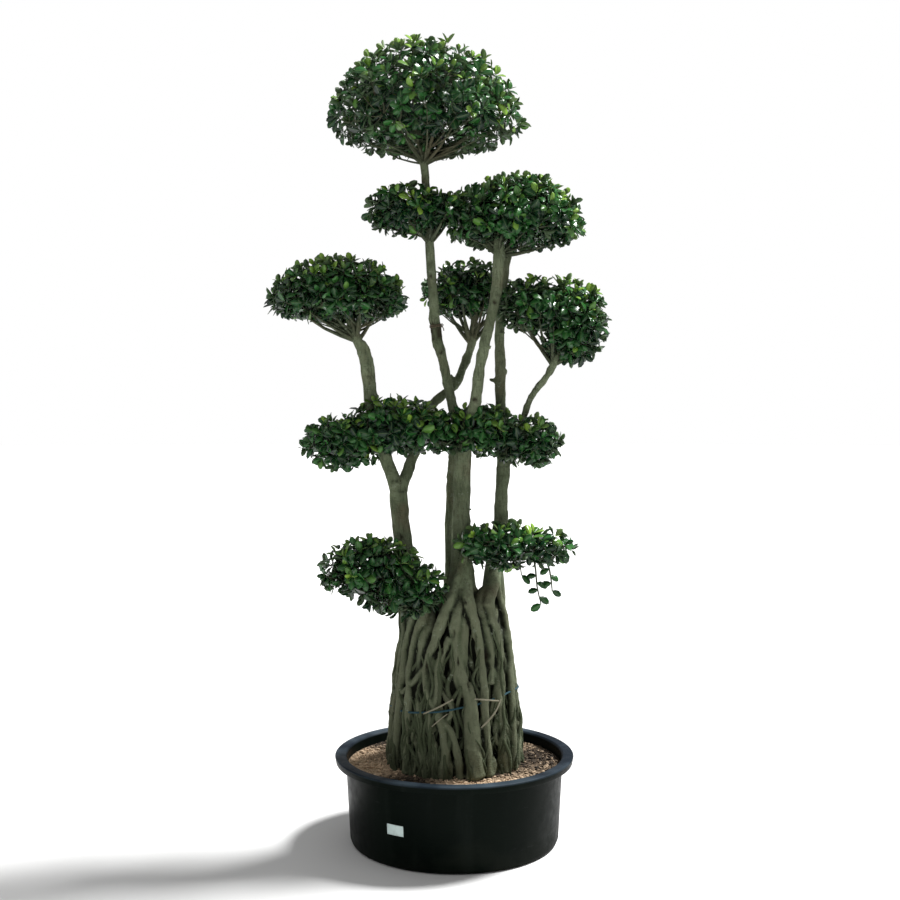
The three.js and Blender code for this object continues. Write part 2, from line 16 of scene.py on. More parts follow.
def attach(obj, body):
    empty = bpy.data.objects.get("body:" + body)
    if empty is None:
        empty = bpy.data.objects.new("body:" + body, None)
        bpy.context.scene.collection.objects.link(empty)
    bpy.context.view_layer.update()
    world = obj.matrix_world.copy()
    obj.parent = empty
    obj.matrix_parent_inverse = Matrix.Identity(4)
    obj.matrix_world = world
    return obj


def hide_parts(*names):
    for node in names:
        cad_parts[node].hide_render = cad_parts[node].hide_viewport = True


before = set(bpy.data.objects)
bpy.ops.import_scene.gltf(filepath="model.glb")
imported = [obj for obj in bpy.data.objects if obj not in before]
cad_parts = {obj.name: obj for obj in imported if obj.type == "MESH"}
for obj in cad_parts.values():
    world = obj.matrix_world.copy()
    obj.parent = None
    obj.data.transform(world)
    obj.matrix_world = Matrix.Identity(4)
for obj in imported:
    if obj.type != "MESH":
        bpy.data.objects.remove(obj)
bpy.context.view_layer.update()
collection = bpy.context.scene.collection

# Camera: five metres in front of the tub at a raised eye height, looking a little down, with a lens
# that takes in the whole tree.
CAMERA_PLACE = (-0.018, -5.020, 1.757)
LOOKS_DOWN = math.radians(1.43)


def placed(name, data):
    """Puts a new object in the scene."""
    made = bpy.data.objects.new(name, data)
    collection.objects.link(made)
    return made


camera_data = bpy.data.cameras.new("camera")
camera_data.lens = 48
camera_data.sensor_width = 36
camera = placed("camera", camera_data)
camera.location = CAMERA_PLACE
camera.rotation_euler = (math.radians(90) - LOOKS_DOWN, 0, 0)
bpy.context.scene.camera = camera

# Tub: a round nursery tub, moulded in black plastic in one piece, with a flat turned-out rim, a lip
# that hangs from it, two lugs under the lip and eight drain holes in its floor. Weather has left it
# dusty towards the ground, and a painted reflection of the sky lays a pale bluish sheen along the rim.
TUB_HEIGHT = 0.362
RIM_RADIUS = 0.500
SHOULDER = (0.455, 0.354)
FOOT = (0.437, 0.020)
WALL = 0.005
TUB_STEPS = 144
LIP_FOOT = 0.332
LUG_BEARINGS = (-73, 107)
LUG_CIRCLE = 0.465
LUG_SIZE = (0.026, 0.030, 0.050, 1)
DRAIN_COUNT = 8
DRAIN_CIRCLE = 0.350
DRAIN_RADIUS = 0.011


def finished(name, mesh, material, replaced=()):
    """Puts a mesh in the scene as a piece of the object, smooth-shaded, riding on its one body."""
    mesh.name = name
    piece = placed(name, mesh)
    mesh.materials.clear()
    mesh.materials.append(material)
    mesh.polygons.foreach_set("use_smooth", [True] * len(mesh.polygons))
    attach(piece, "root")
    if replaced:
        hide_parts(*replaced)
    return piece


def mesh_from(bm):
    """Turns a bmesh into a mesh whose faces point outwards."""
    bmesh.ops.recalc_face_normals(bm, faces=bm.faces)
    mesh = bpy.data.meshes.new("shape")
    bm.to_mesh(mesh)
    bm.free()
    return mesh


def turned(profile, steps):
    """A closed body turned about Z from (radius, height) points that start and end on the axis."""
    bm = bmesh.new()
    corners = [bm.verts.new((radius, 0, height)) for radius, height in profile]
    edges = [bm.edges.new(pair) for pair in zip(corners, corners[1:])]
    bmesh.ops.spin(bm, geom=corners + edges, cent=(0, 0, 0), axis=(0, 0, 1), angle=2 * math.pi,
                   steps=steps, use_merge=True)
    bmesh.ops.remove_doubles(bm, verts=bm.verts, dist=1e-5)
    return bm


class Shades:
    """Wires up a material's nodes: the same few steps colour every piece of the tree and its tub."""

    def __init__(self, name, roughness, specular=0.5):
        self.material = bpy.data.materials.new(name)
        self.material.use_nodes = True
        self.tree = self.material.node_tree
        self.shader = self.tree.nodes["Principled BSDF"]
        self.shader.inputs["Roughness"].default_value = roughness
        self.shader.inputs["Specular IOR Level"].default_value = specular
        self.place = self.tree.nodes.new("ShaderNodeTexCoord").outputs["Object"]

    def feed(self, target, value):
        """Links a socket to an input, or sets the input to a value."""
        if isinstance(value, bpy.types.NodeSocket):
            self.tree.links.new(value, target)
        else:
            target.default_value = value

    def node(self, kind, **links):
        """A new node, with each named input fed."""
        made = self.tree.nodes.new(kind)
        for name, value in links.items():
            self.feed(made.inputs[name], value)
        return made

    def stretched(self, across, along):
        """Object coordinates drawn out along the height."""
        return self.node("ShaderNodeMapping", Vector=self.place, Scale=(across, across, along)).outputs[0]

    def noise(self, scale, detail=3.0, roughness=0.55, at=None):
        """Cloudy noise of a given number of patches a metre."""
        return self.node("ShaderNodeTexNoise", Vector=at or self.place, Scale=scale, Detail=detail,
                         Roughness=roughness).outputs["Fac"]

    def spots(self, scale, at=None):
        """Distance from the middles of scattered spots."""
        return self.node("ShaderNodeTexVoronoi", Vector=at or self.place, Scale=scale).outputs["Distance"]

    def ramp(self, value, low, high, start=0.0, end=1.0):
        """Spreads a value between two limits."""
        limits = {"From Min": low, "From Max": high, "To Min": start, "To Max": end}
        return self.node("ShaderNodeMapRange", Value=value, **limits).outputs["Result"]

    def mix(self, share, *colours):
        """Blends two colours, each a socket or three numbers, by a share."""
        made = self.tree.nodes.new("ShaderNodeMix")
        made.data_type = "RGBA"
        self.feed(made.inputs[0], share)
        for target, colour in zip(made.inputs[6:8], colours):
            self.feed(target, (*colour, 1) if isinstance(colour, tuple) else colour)
        return made.outputs[2]

    def layered(self, colour, *layers):
        """Lays colours over a first one in turn, each by its own share."""
        for share, upper in layers:
            colour = self.mix(share, colour, upper)
        return colour

    def sum(self, first, second, operation="ADD"):
        """Sum, or another operation, of two values."""
        made = self.tree.nodes.new("ShaderNodeMath")
        made.operation = operation
        self.feed(made.inputs[0], first)
        self.feed(made.inputs[1], second)
        return made.outputs[0]

    def times(self, first, second):
        """Product of two values."""
        return self.sum(first, second, "MULTIPLY")

    def attribute(self, name):
        """A value that is stored on the mesh's own points or faces."""
        made = self.tree.nodes.new("ShaderNodeAttribute")
        made.attribute_name = name
        return made.outputs["Fac"]

    def height(self):
        """Height above the ground."""
        return self.node("ShaderNodeSeparateXYZ", Vector=self.place).outputs["Z"]

    def finish(self, colour, relief=None, depth=0.001, roughness=None):
        """Links the colour, any relief and any change of roughness to the shader."""
        self.tree.links.new(colour, self.shader.inputs["Base Color"])
        if relief is not None:
            bump = self.node("ShaderNodeBump", Height=relief, Distance=depth, Strength=1.0)
            self.tree.links.new(bump.outputs["Normal"], self.shader.inputs["Normal"])
        if roughness is not None:
            self.tree.links.new(roughness, self.shader.inputs["Roughness"])
        return self.material


def facing(bearing):
    """The way across and the way back that a bearing in degrees from the viewer's side points."""
    return math.sin(math.radians(bearing)), -math.cos(math.radians(bearing))


tub_profile = [
    (0, 0), (FOOT[0] - 0.020, 0), (FOOT[0] - 0.006, 0.005), FOOT, SHOULDER, (0.489, SHOULDER[1]),
    (0.489, LIP_FOOT), (0.495, LIP_FOOT), (RIM_RADIUS, 0.358), (0.4965, TUB_HEIGHT), (0.458, TUB_HEIGHT),
    (SHOULDER[0] - WALL, SHOULDER[1]), (FOOT[0] - WALL, 0.025), (FOOT[0] - 0.025, 0.008), (0, 0.008),
]
bm = turned(tub_profile, TUB_STEPS)
for bearing in LUG_BEARINGS:
    across, back = facing(bearing)
    place = Matrix.Translation((LUG_CIRCLE * across, LUG_CIRCLE * back, LIP_FOOT))
    place @= Matrix.Rotation(math.radians(bearing), 4, "Z") @ Matrix.Diagonal(LUG_SIZE)
    lug = bmesh.ops.create_cube(bm, size=1, matrix=place)["verts"]
    edges = list({edge for corner in lug for edge in corner.link_edges})
    bmesh.ops.bevel(bm, geom=edges, affect="EDGES", offset=0.004, segments=2, profile=0.5, material=-1)
tub_mesh = mesh_from(bm)
drains = bmesh.new()
for number in range(DRAIN_COUNT):
    turn = (number + 0.5) * 2 * math.pi / DRAIN_COUNT
    place = Matrix.Translation((DRAIN_CIRCLE * math.sin(turn), DRAIN_CIRCLE * math.cos(turn), 0.004))
    bmesh.ops.create_cone(drains, cap_ends=True, segments=24, radius1=DRAIN_RADIUS, radius2=DRAIN_RADIUS,
                          depth=0.03, matrix=place)
drains_cutter = placed("drains", mesh_from(drains))

plastic = Shades("black_tub_plastic", 0.55, 0.03)
towards_ground = plastic.ramp(plastic.height(), 0.0, 0.16, 0.26, 0.0)
dust = plastic.ramp(plastic.sum(plastic.noise(7, 6), towards_ground), 0.62, 1.05)
streaks = plastic.ramp(plastic.noise(9, 5, 0.6, plastic.stretched(1, 0.08)), 0.52, 0.80, 0.0, 0.6)
scuffs = plastic.ramp(plastic.noise(60, 4, 0.7, plastic.stretched(0.12, 1)), 0.66, 0.72, 0.0, 0.5)
black = plastic.mix(plastic.noise(2.5), (0.0012, 0.0020, 0.0018), (0.0022, 0.0052, 0.0030))
# Painted reflection: the top of the rim is lightened with a bluish sheen of sky.
painted_rim_sheen_share = plastic.ramp(plastic.height(), 0.352, 0.361)
painted_sky_sheen = plastic.mix(plastic.ramp(plastic.noise(3.2), 0.40, 0.62), (0.007, 0.012, 0.019),
                    (0.046, 0.064, 0.080))
black = plastic.layered(black, (painted_rim_sheen_share, painted_sky_sheen), (streaks, (0.010, 0.013, 0.011)),
                        (scuffs, (0.030, 0.033, 0.034)), (dust, (0.009, 0.011, 0.008)))
pebbled = plastic.sum(plastic.noise(420, 2), plastic.noise(6, 2))
dulled = plastic.ramp(plastic.sum(dust, plastic.noise(30)), 0.2, 1.2, 0.30, 0.62)
tub = finished("tub", tub_mesh, plastic.finish(black, pebbled, 0.0003, dulled), ["tub"])
cut = tub.modifiers.new("drain holes", "BOOLEAN")
cut.operation = "DIFFERENCE"
cut.object = drains_cutter
rounding = tub.modifiers.new("rounded edges", "BEVEL")
rounding.width = 0.0016
rounding.segments = 2
rounding.limit_method = "ANGLE"
rounding.angle_limit = math.radians(28)


def settle(piece):
    """Applies a piece's modifiers, so that its own mesh is its final shape."""
    bpy.context.view_layer.update()
    shaped = piece.evaluated_get(bpy.context.evaluated_depsgraph_get())
    mesh = bpy.data.meshes.new_from_object(shaped)
    piece.modifiers.clear()
    old, piece.data = piece.data, mesh
    mesh.name = old.name
    bpy.data.meshes.remove(old)
    return mesh


settle(tub)
bpy.data.objects.remove(drains_cutter)

# Label: a small blank sticker of pale film, stuck on to the wall of the tub and bent round it. It lies
# flat on the wall, and the weather has begun to dull it.
LABEL_BEARING = math.radians(-31.5)
LABEL_MIDDLE = 0.158
LABEL_WIDTH = 0.076
LABEL_TALL = 0.042
bm = bmesh.new()
bmesh.ops.create_grid(bm, x_segments=14, y_segments=8, size=0.5)
for corner in bm.verts:
    height = LABEL_MIDDLE + LABEL_TALL * corner.co.y
    wall = FOOT[0] + (SHOULDER[0] - FOOT[0]) * (height - FOOT[1]) / (SHOULDER[1] - FOOT[1]) + 0.0005
    bearing = LABEL_BEARING + LABEL_WIDTH * corner.co.x / wall
    corner.co = (wall * math.sin(bearing), -wall * math.cos(bearing), height)
bmesh.ops.recalc_face_normals(bm, faces=bm.faces)
if sum((face.normal.dot(face.calc_center_median()) for face in bm.faces)) > 0:
    bmesh.ops.reverse_faces(bm, faces=bm.faces)
bmesh.ops.solidify(bm, geom=bm.faces[:], thickness=0.0005)
film = Shades("pale_label_film", 0.38)
worn = film.ramp(film.noise(38, 6, 0.7), 0.5, 0.8)
faded = film.mix(film.noise(16), (0.50, 0.64, 0.62), (0.64, 0.75, 0.73))
pale_film = film.finish(film.mix(worn, faded, (0.38, 0.45, 0.42)), film.noise(120), 0.0004)
finished("label", mesh_from(bm), pale_film, ["label"])

# Soil: bark-based growing mix that fills the tub to just under its rim, with loose chips of bark on
# top, bleached tan where they have dried and dark brown where they are damp, and painted tan too in two
# pools of sunlight at the left and at the front.
SOIL_TOP = 0.322
SOIL_RADIUS = 0.446
CHIP_COUNT = 5000
CHIP_LENGTHS = (0.006, 0.009, 0.013, 0.022)
random.seed(11)


def clamp(value):
    """Keeps a value between 0 and 1."""
    return min(1, max(0, value))


def soil_height(x, y):
    """Height of the mix's surface, with its hollows and a slight mound against the roots."""
    reach = math.hypot(x, y)
    swell = 0.008 * noise.noise(Vector((x * 9, y * 9, 3)))
    swell += 0.004 * noise.noise(Vector((x * 34, y * 34, 7)))
    mound = 0.012 * max(0.0, 1 - max(0.0, reach - 0.27) / 0.09)
    return SOIL_TOP + swell * clamp((SOIL_RADIUS - reach) / 0.03) + mound - 0.004


def dryness_and_painted_sun(x, y):
    """How dry the top of the mix is at a place, lightened by two painted pools of sunlight at the left and
    at the front.
    """
    dry = 0.10 + 0.9 * noise.noise(Vector((x * 5, y * 5, 21)))
    # Painted sunlight: two pools of it, at the left and at the front, lighten the mix there.
    for spot_x, spot_y, spread in ((-0.38, 0, 0.050), (0.16, -0.37, 0.014)):
        dry += 0.95 * math.exp(-((x - spot_x) ** 2 + (y - spot_y) ** 2) / spread)
    return clamp(dry)


rings = [(SOIL_RADIUS + 0.002 - 0.008 * step, SOIL_TOP) for step in range(34)]
bm = turned([(0, 0.009), (0.410, 0.009), (0.431, 0.026), *rings, (0, SOIL_TOP)], 120)
for corner in bm.verts:
    if corner.co.z > SOIL_TOP - 0.001:
        corner.co.z = soil_height(corner.co.x, corner.co.y)
soil_mesh = mesh_from(bm)


def store(mesh, name, values, domain="POINT"):
    """Keeps one number for each point or face on a mesh, for its material to read."""
    mesh.attributes.new(name, "FLOAT", domain).data.foreach_set("value", np.asarray(values, np.float32))


store(soil_mesh, "dry", [dryness_and_painted_sun(corner.co.x, corner.co.y) for corner in soil_mesh.vertices])
mix = Shades("bark_growing_mix", 0.95, 0.2)
grains = mix.ramp(mix.spots(150), 0.0, 0.6)
brown = mix.mix(mix.noise(70, 5), (0.014, 0.010, 0.007), (0.060, 0.040, 0.026))
# The tan of the dry mix also carries the painted pools of sunlight.
brown = mix.mix(mix.attribute("dry"), brown, mix.mix(grains, (0.22, 0.150, 0.095), (0.50, 0.37, 0.245)))
growing_mix = mix.finish(brown, mix.sum(grains, mix.noise(260, 4)), 0.004)
finished("soil", soil_mesh, growing_mix, ["soil"])


def read(items, field, kind=np.float32, width=1):
    """An array of one field of all of a mesh's points, edges, corners or faces."""
    values = np.zeros(len(items) * width, kind)
    items.foreach_get(field, values)
    return values.reshape(-1, width) if width > 1 else values


def stamped(pattern, stamps, tones):
    """One mesh of many copies of a small one, each with its own place and its own tone."""
    count, size, reach = len(stamps), len(pattern.vertices), len(pattern.loops)
    spots = np.c_[read(pattern.vertices, "co", width=3), np.ones(size)]
    places = np.array([list(map(list, place)) for place in stamps])
    copies = np.einsum("nij,vj->nvi", places, spots)[:, :, :3]
    step = np.arange(count)[:, None]
    mesh = bpy.data.meshes.new("copies")
    mesh.vertices.add(count * size)
    mesh.vertices.foreach_set("co", copies.astype(np.float32).ravel())
    mesh.loops.add(count * reach)
    corners = read(pattern.loops, "vertex_index", np.int32) + step * size
    mesh.loops.foreach_set("vertex_index", corners.ravel())
    mesh.polygons.add(count * len(pattern.polygons))
    starts = read(pattern.polygons, "loop_start", np.int32) + step * reach
    mesh.polygons.foreach_set("loop_start", starts.ravel())
    for layer in pattern.uv_layers:
        across = np.tile(read(layer.data, "uv", width=2).ravel(), count)
        mesh.uv_layers.new(name=layer.name).data.foreach_set("uv", across)
    for layer in pattern.attributes:
        if layer.domain == "FACE" and layer.data_type == "FLOAT":
            store(mesh, layer.name, np.tile(read(layer.data, "value"), count), "FACE")
    store(mesh, "tone", np.repeat(tones, size))
    mesh.update(calc_edges=True)
    return mesh


bm = bmesh.new()
bmesh.ops.create_icosphere(bm, subdivisions=1, radius=0.5)
for corner in bm.verts:
    corner.co *= uniform(0.7, 1.25)
chip = mesh_from(bm)
stamps, tones = [], []
while len(stamps) < CHIP_COUNT:
    reach, bearing = SOIL_RADIUS * math.sqrt(uniform(0.28, 1)), uniform(0, 2 * math.pi)
    x, y = reach * math.cos(bearing), reach * math.sin(bearing)
    length = random.choice(CHIP_LENGTHS) * uniform(0.7, 1.3)
    if reach + length / 2 > SOIL_RADIUS - 0.001:
        continue
    turn = Matrix.Rotation(uniform(0, 6.28), 4, "Z")
    turn @= Matrix.Rotation(gauss(0, 0.5), 4, "X")
    size = Matrix.Diagonal((length, length * uniform(0.28, 0.7),
                            length * uniform(0.14, 0.35), 1))
    spot = (x, y, soil_height(x, y) + uniform(0.000, 0.0045))
    stamps.append(Matrix.Translation(spot) @ turn @ size)
    # A chip's tone follows the dryness of the mix and its painted pools of sunlight.
    tones.append(clamp(gauss(dryness_and_painted_sun(x, y), 0.22)))
bark_chip = Shades("bark_chips", 0.9, 0.25)
chip_brown = bark_chip.mix(bark_chip.attribute("tone"), (0.017, 0.012, 0.008), (0.70, 0.52, 0.35))
greyed = bark_chip.ramp(bark_chip.noise(300), 0.45, 0.8, 0, 0.5)
chip_brown = bark_chip.mix(greyed, chip_brown, (0.17, 0.13, 0.095))
finished("bark_chips", stamped(chip, stamps, tones),
         bark_chip.finish(chip_brown, bark_chip.noise(500), 0.0015))

# Wood: one grown piece. Aerial roots have fused into a wide clump over the soil, slender trunks rise
# out of it and fork, and old cuts have left knots on them. The routes of the trunks and of the roots
# that catch the eye are those of the solids, in millimetres: [x, y, z, radius].
TRUNKS = {
    "left": [[-165, 0, 850, 60], [-182, 0, 1000, 50], [-190, 0, 1085, 44], [-204, 0, 1190, 40],
        [-221, 0, 1295, 38], [-234, 0, 1455, 40]],
    "left_outer": [[-232, 0, 1425, 30], [-260, -10, 1525, 28], [-295, -30, 1625, 28],
        [-324, -50, 1725, 25], [-350, -60, 1810, 22], [-357, -60, 1900, 21], [-370, -60, 1990, 21],
        [-390, -60, 2060, 20], [-425, -60, 2150, 21], [-445, -55, 2225, 14]],
    "left_inner": [[-230, 0, 1425, 28], [-207, 20, 1515, 24], [-175, 60, 1605, 24],
        [-138, 110, 1715, 21], [-96, 160, 1820, 19], [-44, 190, 1870, 18], [4, 210, 1910, 19],
        [39, 220, 1985, 19], [69, 230, 2063, 19], [87, 240, 2160, 18], [90, 245, 2250, 12]],
    "centre": [[34, -85, 800, 78], [32, -75, 940, 80], [32, -62, 1055, 62], [30, -52, 1155, 49],
        [30, -45, 1260, 40], [31, -40, 1425, 36], [34, -50, 1570, 36], [38, -50, 1665, 34]],
    "centre_right": [[38, -50, 1640, 30], [48, -65, 1708, 25], [66, -80, 1765, 24], [84, -90, 1820, 25],
        [104, -100, 1970, 23], [146, -100, 2160, 22], [166, -90, 2250, 23], [179, -80, 2350, 25],
        [184, -70, 2455, 25], [190, -55, 2600, 15]],
    "centre_left": [[38, -50, 1640, 30], [19, -20, 1716, 24], [-11, 10, 1828, 22], [-27, 20, 1912, 22],
        [-49, 20, 2009, 21], [-74, 20, 2105, 23], [-90, 0, 2295, 20], [-99, 0, 2424, 21],
        [-110, 0, 2590, 19], [-125, 0, 2818, 17], [-130, 0, 2880, 18], [-139, 0, 2985, 13]],
    "right": [[150, 45, 850, 60], [158, 50, 1040, 41], [162, 50, 1122, 35], [181, 50, 1228, 33],
        [196, 50, 1334, 32], [202, 60, 1460, 28], [209, 60, 1555, 31]],
    "right_upper": [[208, 60, 1530, 28], [203, 70, 1672, 24], [199, 80, 1778, 23], [197, 90, 1927, 23],
        [197, 110, 2226, 21], [204, 110, 2310, 20], [216, 110, 2405, 20], [232, 104, 2500, 20],
        [246, 90, 2610, 13]],
    "right_outer": [[208, 60, 1530, 22], [231, 50, 1622, 18], [260, 35, 1690, 16], [289, 20, 1757, 14],
        [321, 10, 1853, 15], [381, 0, 1933, 14], [423, -15, 2011, 15], [445, -10, 2110, 11]],
    "back": [[-22, 120, 850, 30], [-22, 120, 1070, 21], [-20, 120, 1242, 20], [-18, 115, 1414, 19],
        [-12, 100, 1544, 19], [3, 50, 1673, 18], [12, -10, 1740, 16]],
    "low_left_bough": [[-205, 0, 1150, 26], [-222, -55, 1165, 18], [-250, -120, 1150, 15],
        [-285, -170, 1130, 10]],
    "low_right_bough": [[188, 45, 1200, 24], [215, -20, 1225, 18], [240, -85, 1240, 15],
        [262, -140, 1240, 10]],
    "left_saddle": [[-165, 0, 955, 52], [-66, -52, 955, 60], [40, -60, 950, 60]],
    "right_saddle": [[50, -55, 985, 50], [105, -5, 1000, 42], [158, 48, 990, 48]],
}
# Snags, knots and small side roots on the trunks
SNAGS = [
    [[185, 88, 1930, 12], [160, 84, 1926, 8], [150, 82, 1934, 5]],
    [[205, 88, 1965, 14], [226, 84, 1962, 9]],
    [[316, 8, 1850, 13], [330, 4, 1864, 9]],
    [[-20, 196, 1935, 10], [-8, 200, 1953, 7]],
    [[-318, -64, 1845, 9], [-327, -66, 1880, 7], [-338, -66, 1995, 6], [-352, -66, 2045, 7],
     [-378, -62, 2080, 8]],
    [[-110, -60, 1095, 4], [-84, -80, 1082, 4], [-52, -90, 1040, 4], [-30, -96, 1005, 6]],
    [[-236, -36, 1490, 10], [-240, -46, 1500, 7]],
    [[64, -66, 1385, 8], [72, -74, 1392, 5]],
    [[186, 20, 1290, 9], [184, 6, 1300, 6]],
    [[140, -122, 2050, 8], [150, -130, 2062, 5]],
    [[-70, -2, 2195, 9], [-64, -12, 2204, 6]],
    [[203, 82, 2120, 9], [214, 74, 2130, 5]],
    [[-352, -84, 1925, 8], [-350, -92, 1936, 5]],
    [[-106, 150, 1790, 9], [-98, 138, 1800, 6]],
]
PIT_SPACING = 58
# Old cuts: rounds of callus with a sunk, dark middle, each [x, y, z, radius] on a trunk's face
CUTS = [
    [84, -116, 1839, 15], [32, -88, 1345, 13], [-222, -40, 1270, 14], [200, 56, 1700, 13],
    [-56, -2, 2040, 12], [163, -114, 2235, 11], [-346, -82, 1790, 12], [-96, -22, 2350, 10],
    [186, 16, 1160, 13], [30, -92, 1210, 12], [300, 4, 1775, 8], [198, 88, 2330, 10],
]
# Slits where the fused roots haven't closed, sunk and painted dark with shade: [x, z, half width, half
# height] on the near face
SLITS = [[-3, 901, 7, 15], [83, 875, 6, 22], [14, 794, 6, 26], [-52, 835, 7, 30], [132, 800, 8, 34],
         [43, 1024, 7, 10], [-112, 770, 7, 40], [60, 700, 6, 26], [-30, 720, 6, 24]]
# Roots that catch the eye: [bearing from the viewer's side towards +X, height, radius] on the clump
SHOWN_ROOTS = [
    [[2, 960, 26], [2, 843, 24], [7, 734, 25], [13, 651, 28], [15, 556, 32], [16, 454, 38],
     [17, 335, 44]],
    [[18, 1010, 24], [25, 910, 20], [28, 760, 18], [28, 516, 17], [30, 335, 18]],
    [[-8, 1000, 24], [-20, 880, 20], [-28, 765, 18], [-26, 674, 17], [-16, 592, 17], [-9, 503, 20],
     [-9, 335, 24]],
    [[-4, 880, 18], [-15, 787, 17], [-16, 678, 17], [-18, 600, 15]],
    [[-28, 765, 15], [-43, 689, 14], [-58, 640, 12]],
    [[-16, 585, 14], [-5, 523, 14], [2, 433, 15], [5, 335, 16]],
    [[46, 1000, 26], [52, 819, 22], [44, 664, 18], [45, 504, 18], [48, 335, 20]],
    [[88, 1090, 13], [87, 953, 14], [80, 818, 16], [66, 646, 16], [62, 500, 15], [60, 335, 16]],
    [[-56, 1000, 30], [-59, 814, 22], [-59, 611, 18], [-61, 335, 18]],
    [[-40, 1000, 26], [-47, 821, 20], [-46, 622, 17], [-44, 335, 17]],
]
# Broad roots that have fused into a face between the others: [bearing, height, radius, share sunk]
FUSED_ROOTS = [
    [[8, 1000, 36, 1.3], [6, 930, 42, 0.8], [4, 830, 42, 0.7], [5, 740, 36, 0.75], [9, 650, 22, 1.0]],
    [[40, 990, 36, 1.3], [38, 900, 38, 0.8], [39, 800, 32, 0.8], [37, 690, 20, 1.0]],
    [[-42, 970, 32, 1.3], [-36, 880, 34, 0.8], [-37, 790, 28, 0.85], [-40, 690, 18, 1.0]],
]
ROOT_PAIRS = 36
DEEP_ROOT_PAIRS = 27
ROOT_STEPS = 14
ROOT_FOOT = 312
CLUMP_TOP = 1010
# The body inside the clump, which closes the gaps between the roots
HEARTWOOD = [[0, 0, 190, 225], [0, 0, 330, 222], [0, 0, 500, 212], [0, 0, 700, 188], [0, 0, 850, 172],
             [0, 6, 930, 158], [0, 10, 975, 130], [0, 14, 1003, 84], [0, 14, 1014, 30]]
VOXEL = 0.0058
GROOVE_STEPS = 7
HOLLOW_STEPS = 34
random.seed(5)


def clump_radius(height):
    """Radius of the root clump at a height, both in millimetres."""
    return 284 - 84 * (max(0, height - 324) / 686) ** 1.6


def on_clump(bearing, height, radius, sunk=0.4):
    """A point of a root that lies in the clump's face, sunk by a share of its own radius."""
    reach = clump_radius(height) - radius * sunk
    across, back = facing(bearing)
    return [reach * across, reach * back, height, radius]


def root_start(bearing):
    """The place on a trunk's foot that a root of this bearing runs down from."""
    outward = Vector(facing(bearing))
    feet = [(-186, 0, 40, 0), (32, -66, 54, 0), (160, 50, 36, 45), (-22, 120, 19, 0)]
    starts = [(Vector((x, y)) + girth * outward, favour) for x, y, girth, favour in feet]
    return max(starts, key=lambda start: start[0].dot(outward) + start[1])[0]


def root_pair(bearing, parting, depth):
    """Two roots that come down a trunk's foot as one, part at some height and reach the soil apart."""
    start = root_start(bearing)
    top = uniform(1040, 1180)
    phase, sway = uniform(0, 50), uniform(7, 15)
    routes = []
    for side in (-1, 1):
        spread = side * uniform(2.5, 7.5)
        girth = uniform(6.5, 13)
        route = []
        for step in range(ROOT_STEPS + 1):
            height = top + (ROOT_FOOT - top) * step / ROOT_STEPS
            apart = clamp((parting - height) / 180)
            wander = sway * noise.noise(Vector((phase, height / 130, 0)))
            wander += apart * 8 * noise.noise(Vector((phase + 9 * side, height / 75, 5)))
            radius = 9 + 13 * min(1, (top - height) / 190)
            radius += (girth - radius) * clamp((parting + 120 - height) / 260)
            if height < 400:
                radius *= 1 + 0.25 * (400 - height) / 80
            sunk = depth + 12 * noise.noise(Vector((phase, height / 90, 8 + side)))
            reach = clump_radius(min(height, CLUMP_TOP)) - 0.75 * radius - max(0, sunk)
            x, y = (reach * part for part in facing(bearing + wander + apart * spread))
            hold = clamp((height - 800) / 230)
            hold = hold * hold * (3 - 2 * hold)
            route.append([x + (start.x - x) * hold, y + (start.y - y) * hold, height, radius])
        routes.append(route)
    return routes


def limbs(routes, roundness, steps=3, closed=False):
    """A mesh of capped round limbs along smooth routes of [x, y, z, radius] in millimetres."""
    curve = bpy.data.curves.new("limbs", "CURVE")
    curve.dimensions = "3D"
    curve.bevel_depth = 1.0
    curve.bevel_resolution = roundness
    curve.use_fill_caps = True
    for route in routes:
        strand = curve.splines.new("BEZIER")
        strand.bezier_points.add(len(route) - 1)
        strand.resolution_u = steps
        strand.radius_interpolation = "CARDINAL"
        strand.use_cyclic_u = closed
        for knot, (x, y, z, radius) in zip(strand.bezier_points, route):
            knot.co = (x / 1000, y / 1000, z / 1000)
            knot.radius = radius / 1000
            knot.handle_left_type = knot.handle_right_type = "AUTO"
    holder = placed("limbs", curve)
    bpy.context.view_layer.update()
    mesh = bpy.data.meshes.new_from_object(holder.evaluated_get(bpy.context.evaluated_depsgraph_get()))
    bpy.data.objects.remove(holder)
    bpy.data.curves.remove(curve)
    return mesh


def shown_root(knots):
    """One of the roots that catch the eye, led up into the face of the trunk that it comes down from."""
    route = [on_clump(*knot) for knot in knots]
    bearing, height, radius = knots[0][:3]
    if height > 950:
        start = root_start(bearing)
        x, y = route[0][:2]
        for share, rise, size in ((0.55, 70, 0.85), (1.0, 150, 0.6), (1.15, 220, 0.35)):
            knot = [x + (start.x - x) * share, y + (start.y - y) * share, height + rise, radius * size]
            route.insert(0, knot)
    return route


routes = list(TRUNKS.values()) + SNAGS + [shown_root(root) for root in SHOWN_ROOTS + FUSED_ROOTS]
for number in range(ROOT_PAIRS):
    bearing = 360 * number / ROOT_PAIRS + uniform(-3, 3)
    routes += root_pair(bearing, uniform(500, 860), random.choice((0, 5, 12, 20, 28)))
for number in range(DEEP_ROOT_PAIRS):
    bearing = 360 * number / DEEP_ROOT_PAIRS + uniform(-5, 5)
    routes += root_pair(bearing, uniform(620, 900), uniform(30, 44))
wood = placed("wood", limbs(routes + [HEARTWOOD], 3))
fuse = wood.modifiers.new("fused", "REMESH")
fuse.mode = "VOXEL"
fuse.voxel_size = VOXEL
ease = wood.modifiers.new("eased", "SMOOTH")
ease.factor = 0.5
ease.iterations = 2
thin = wood.modifiers.new("thinned", "DECIMATE")
thin.ratio = 0.5
wood_mesh = settle(wood)
bpy.data.objects.remove(wood)


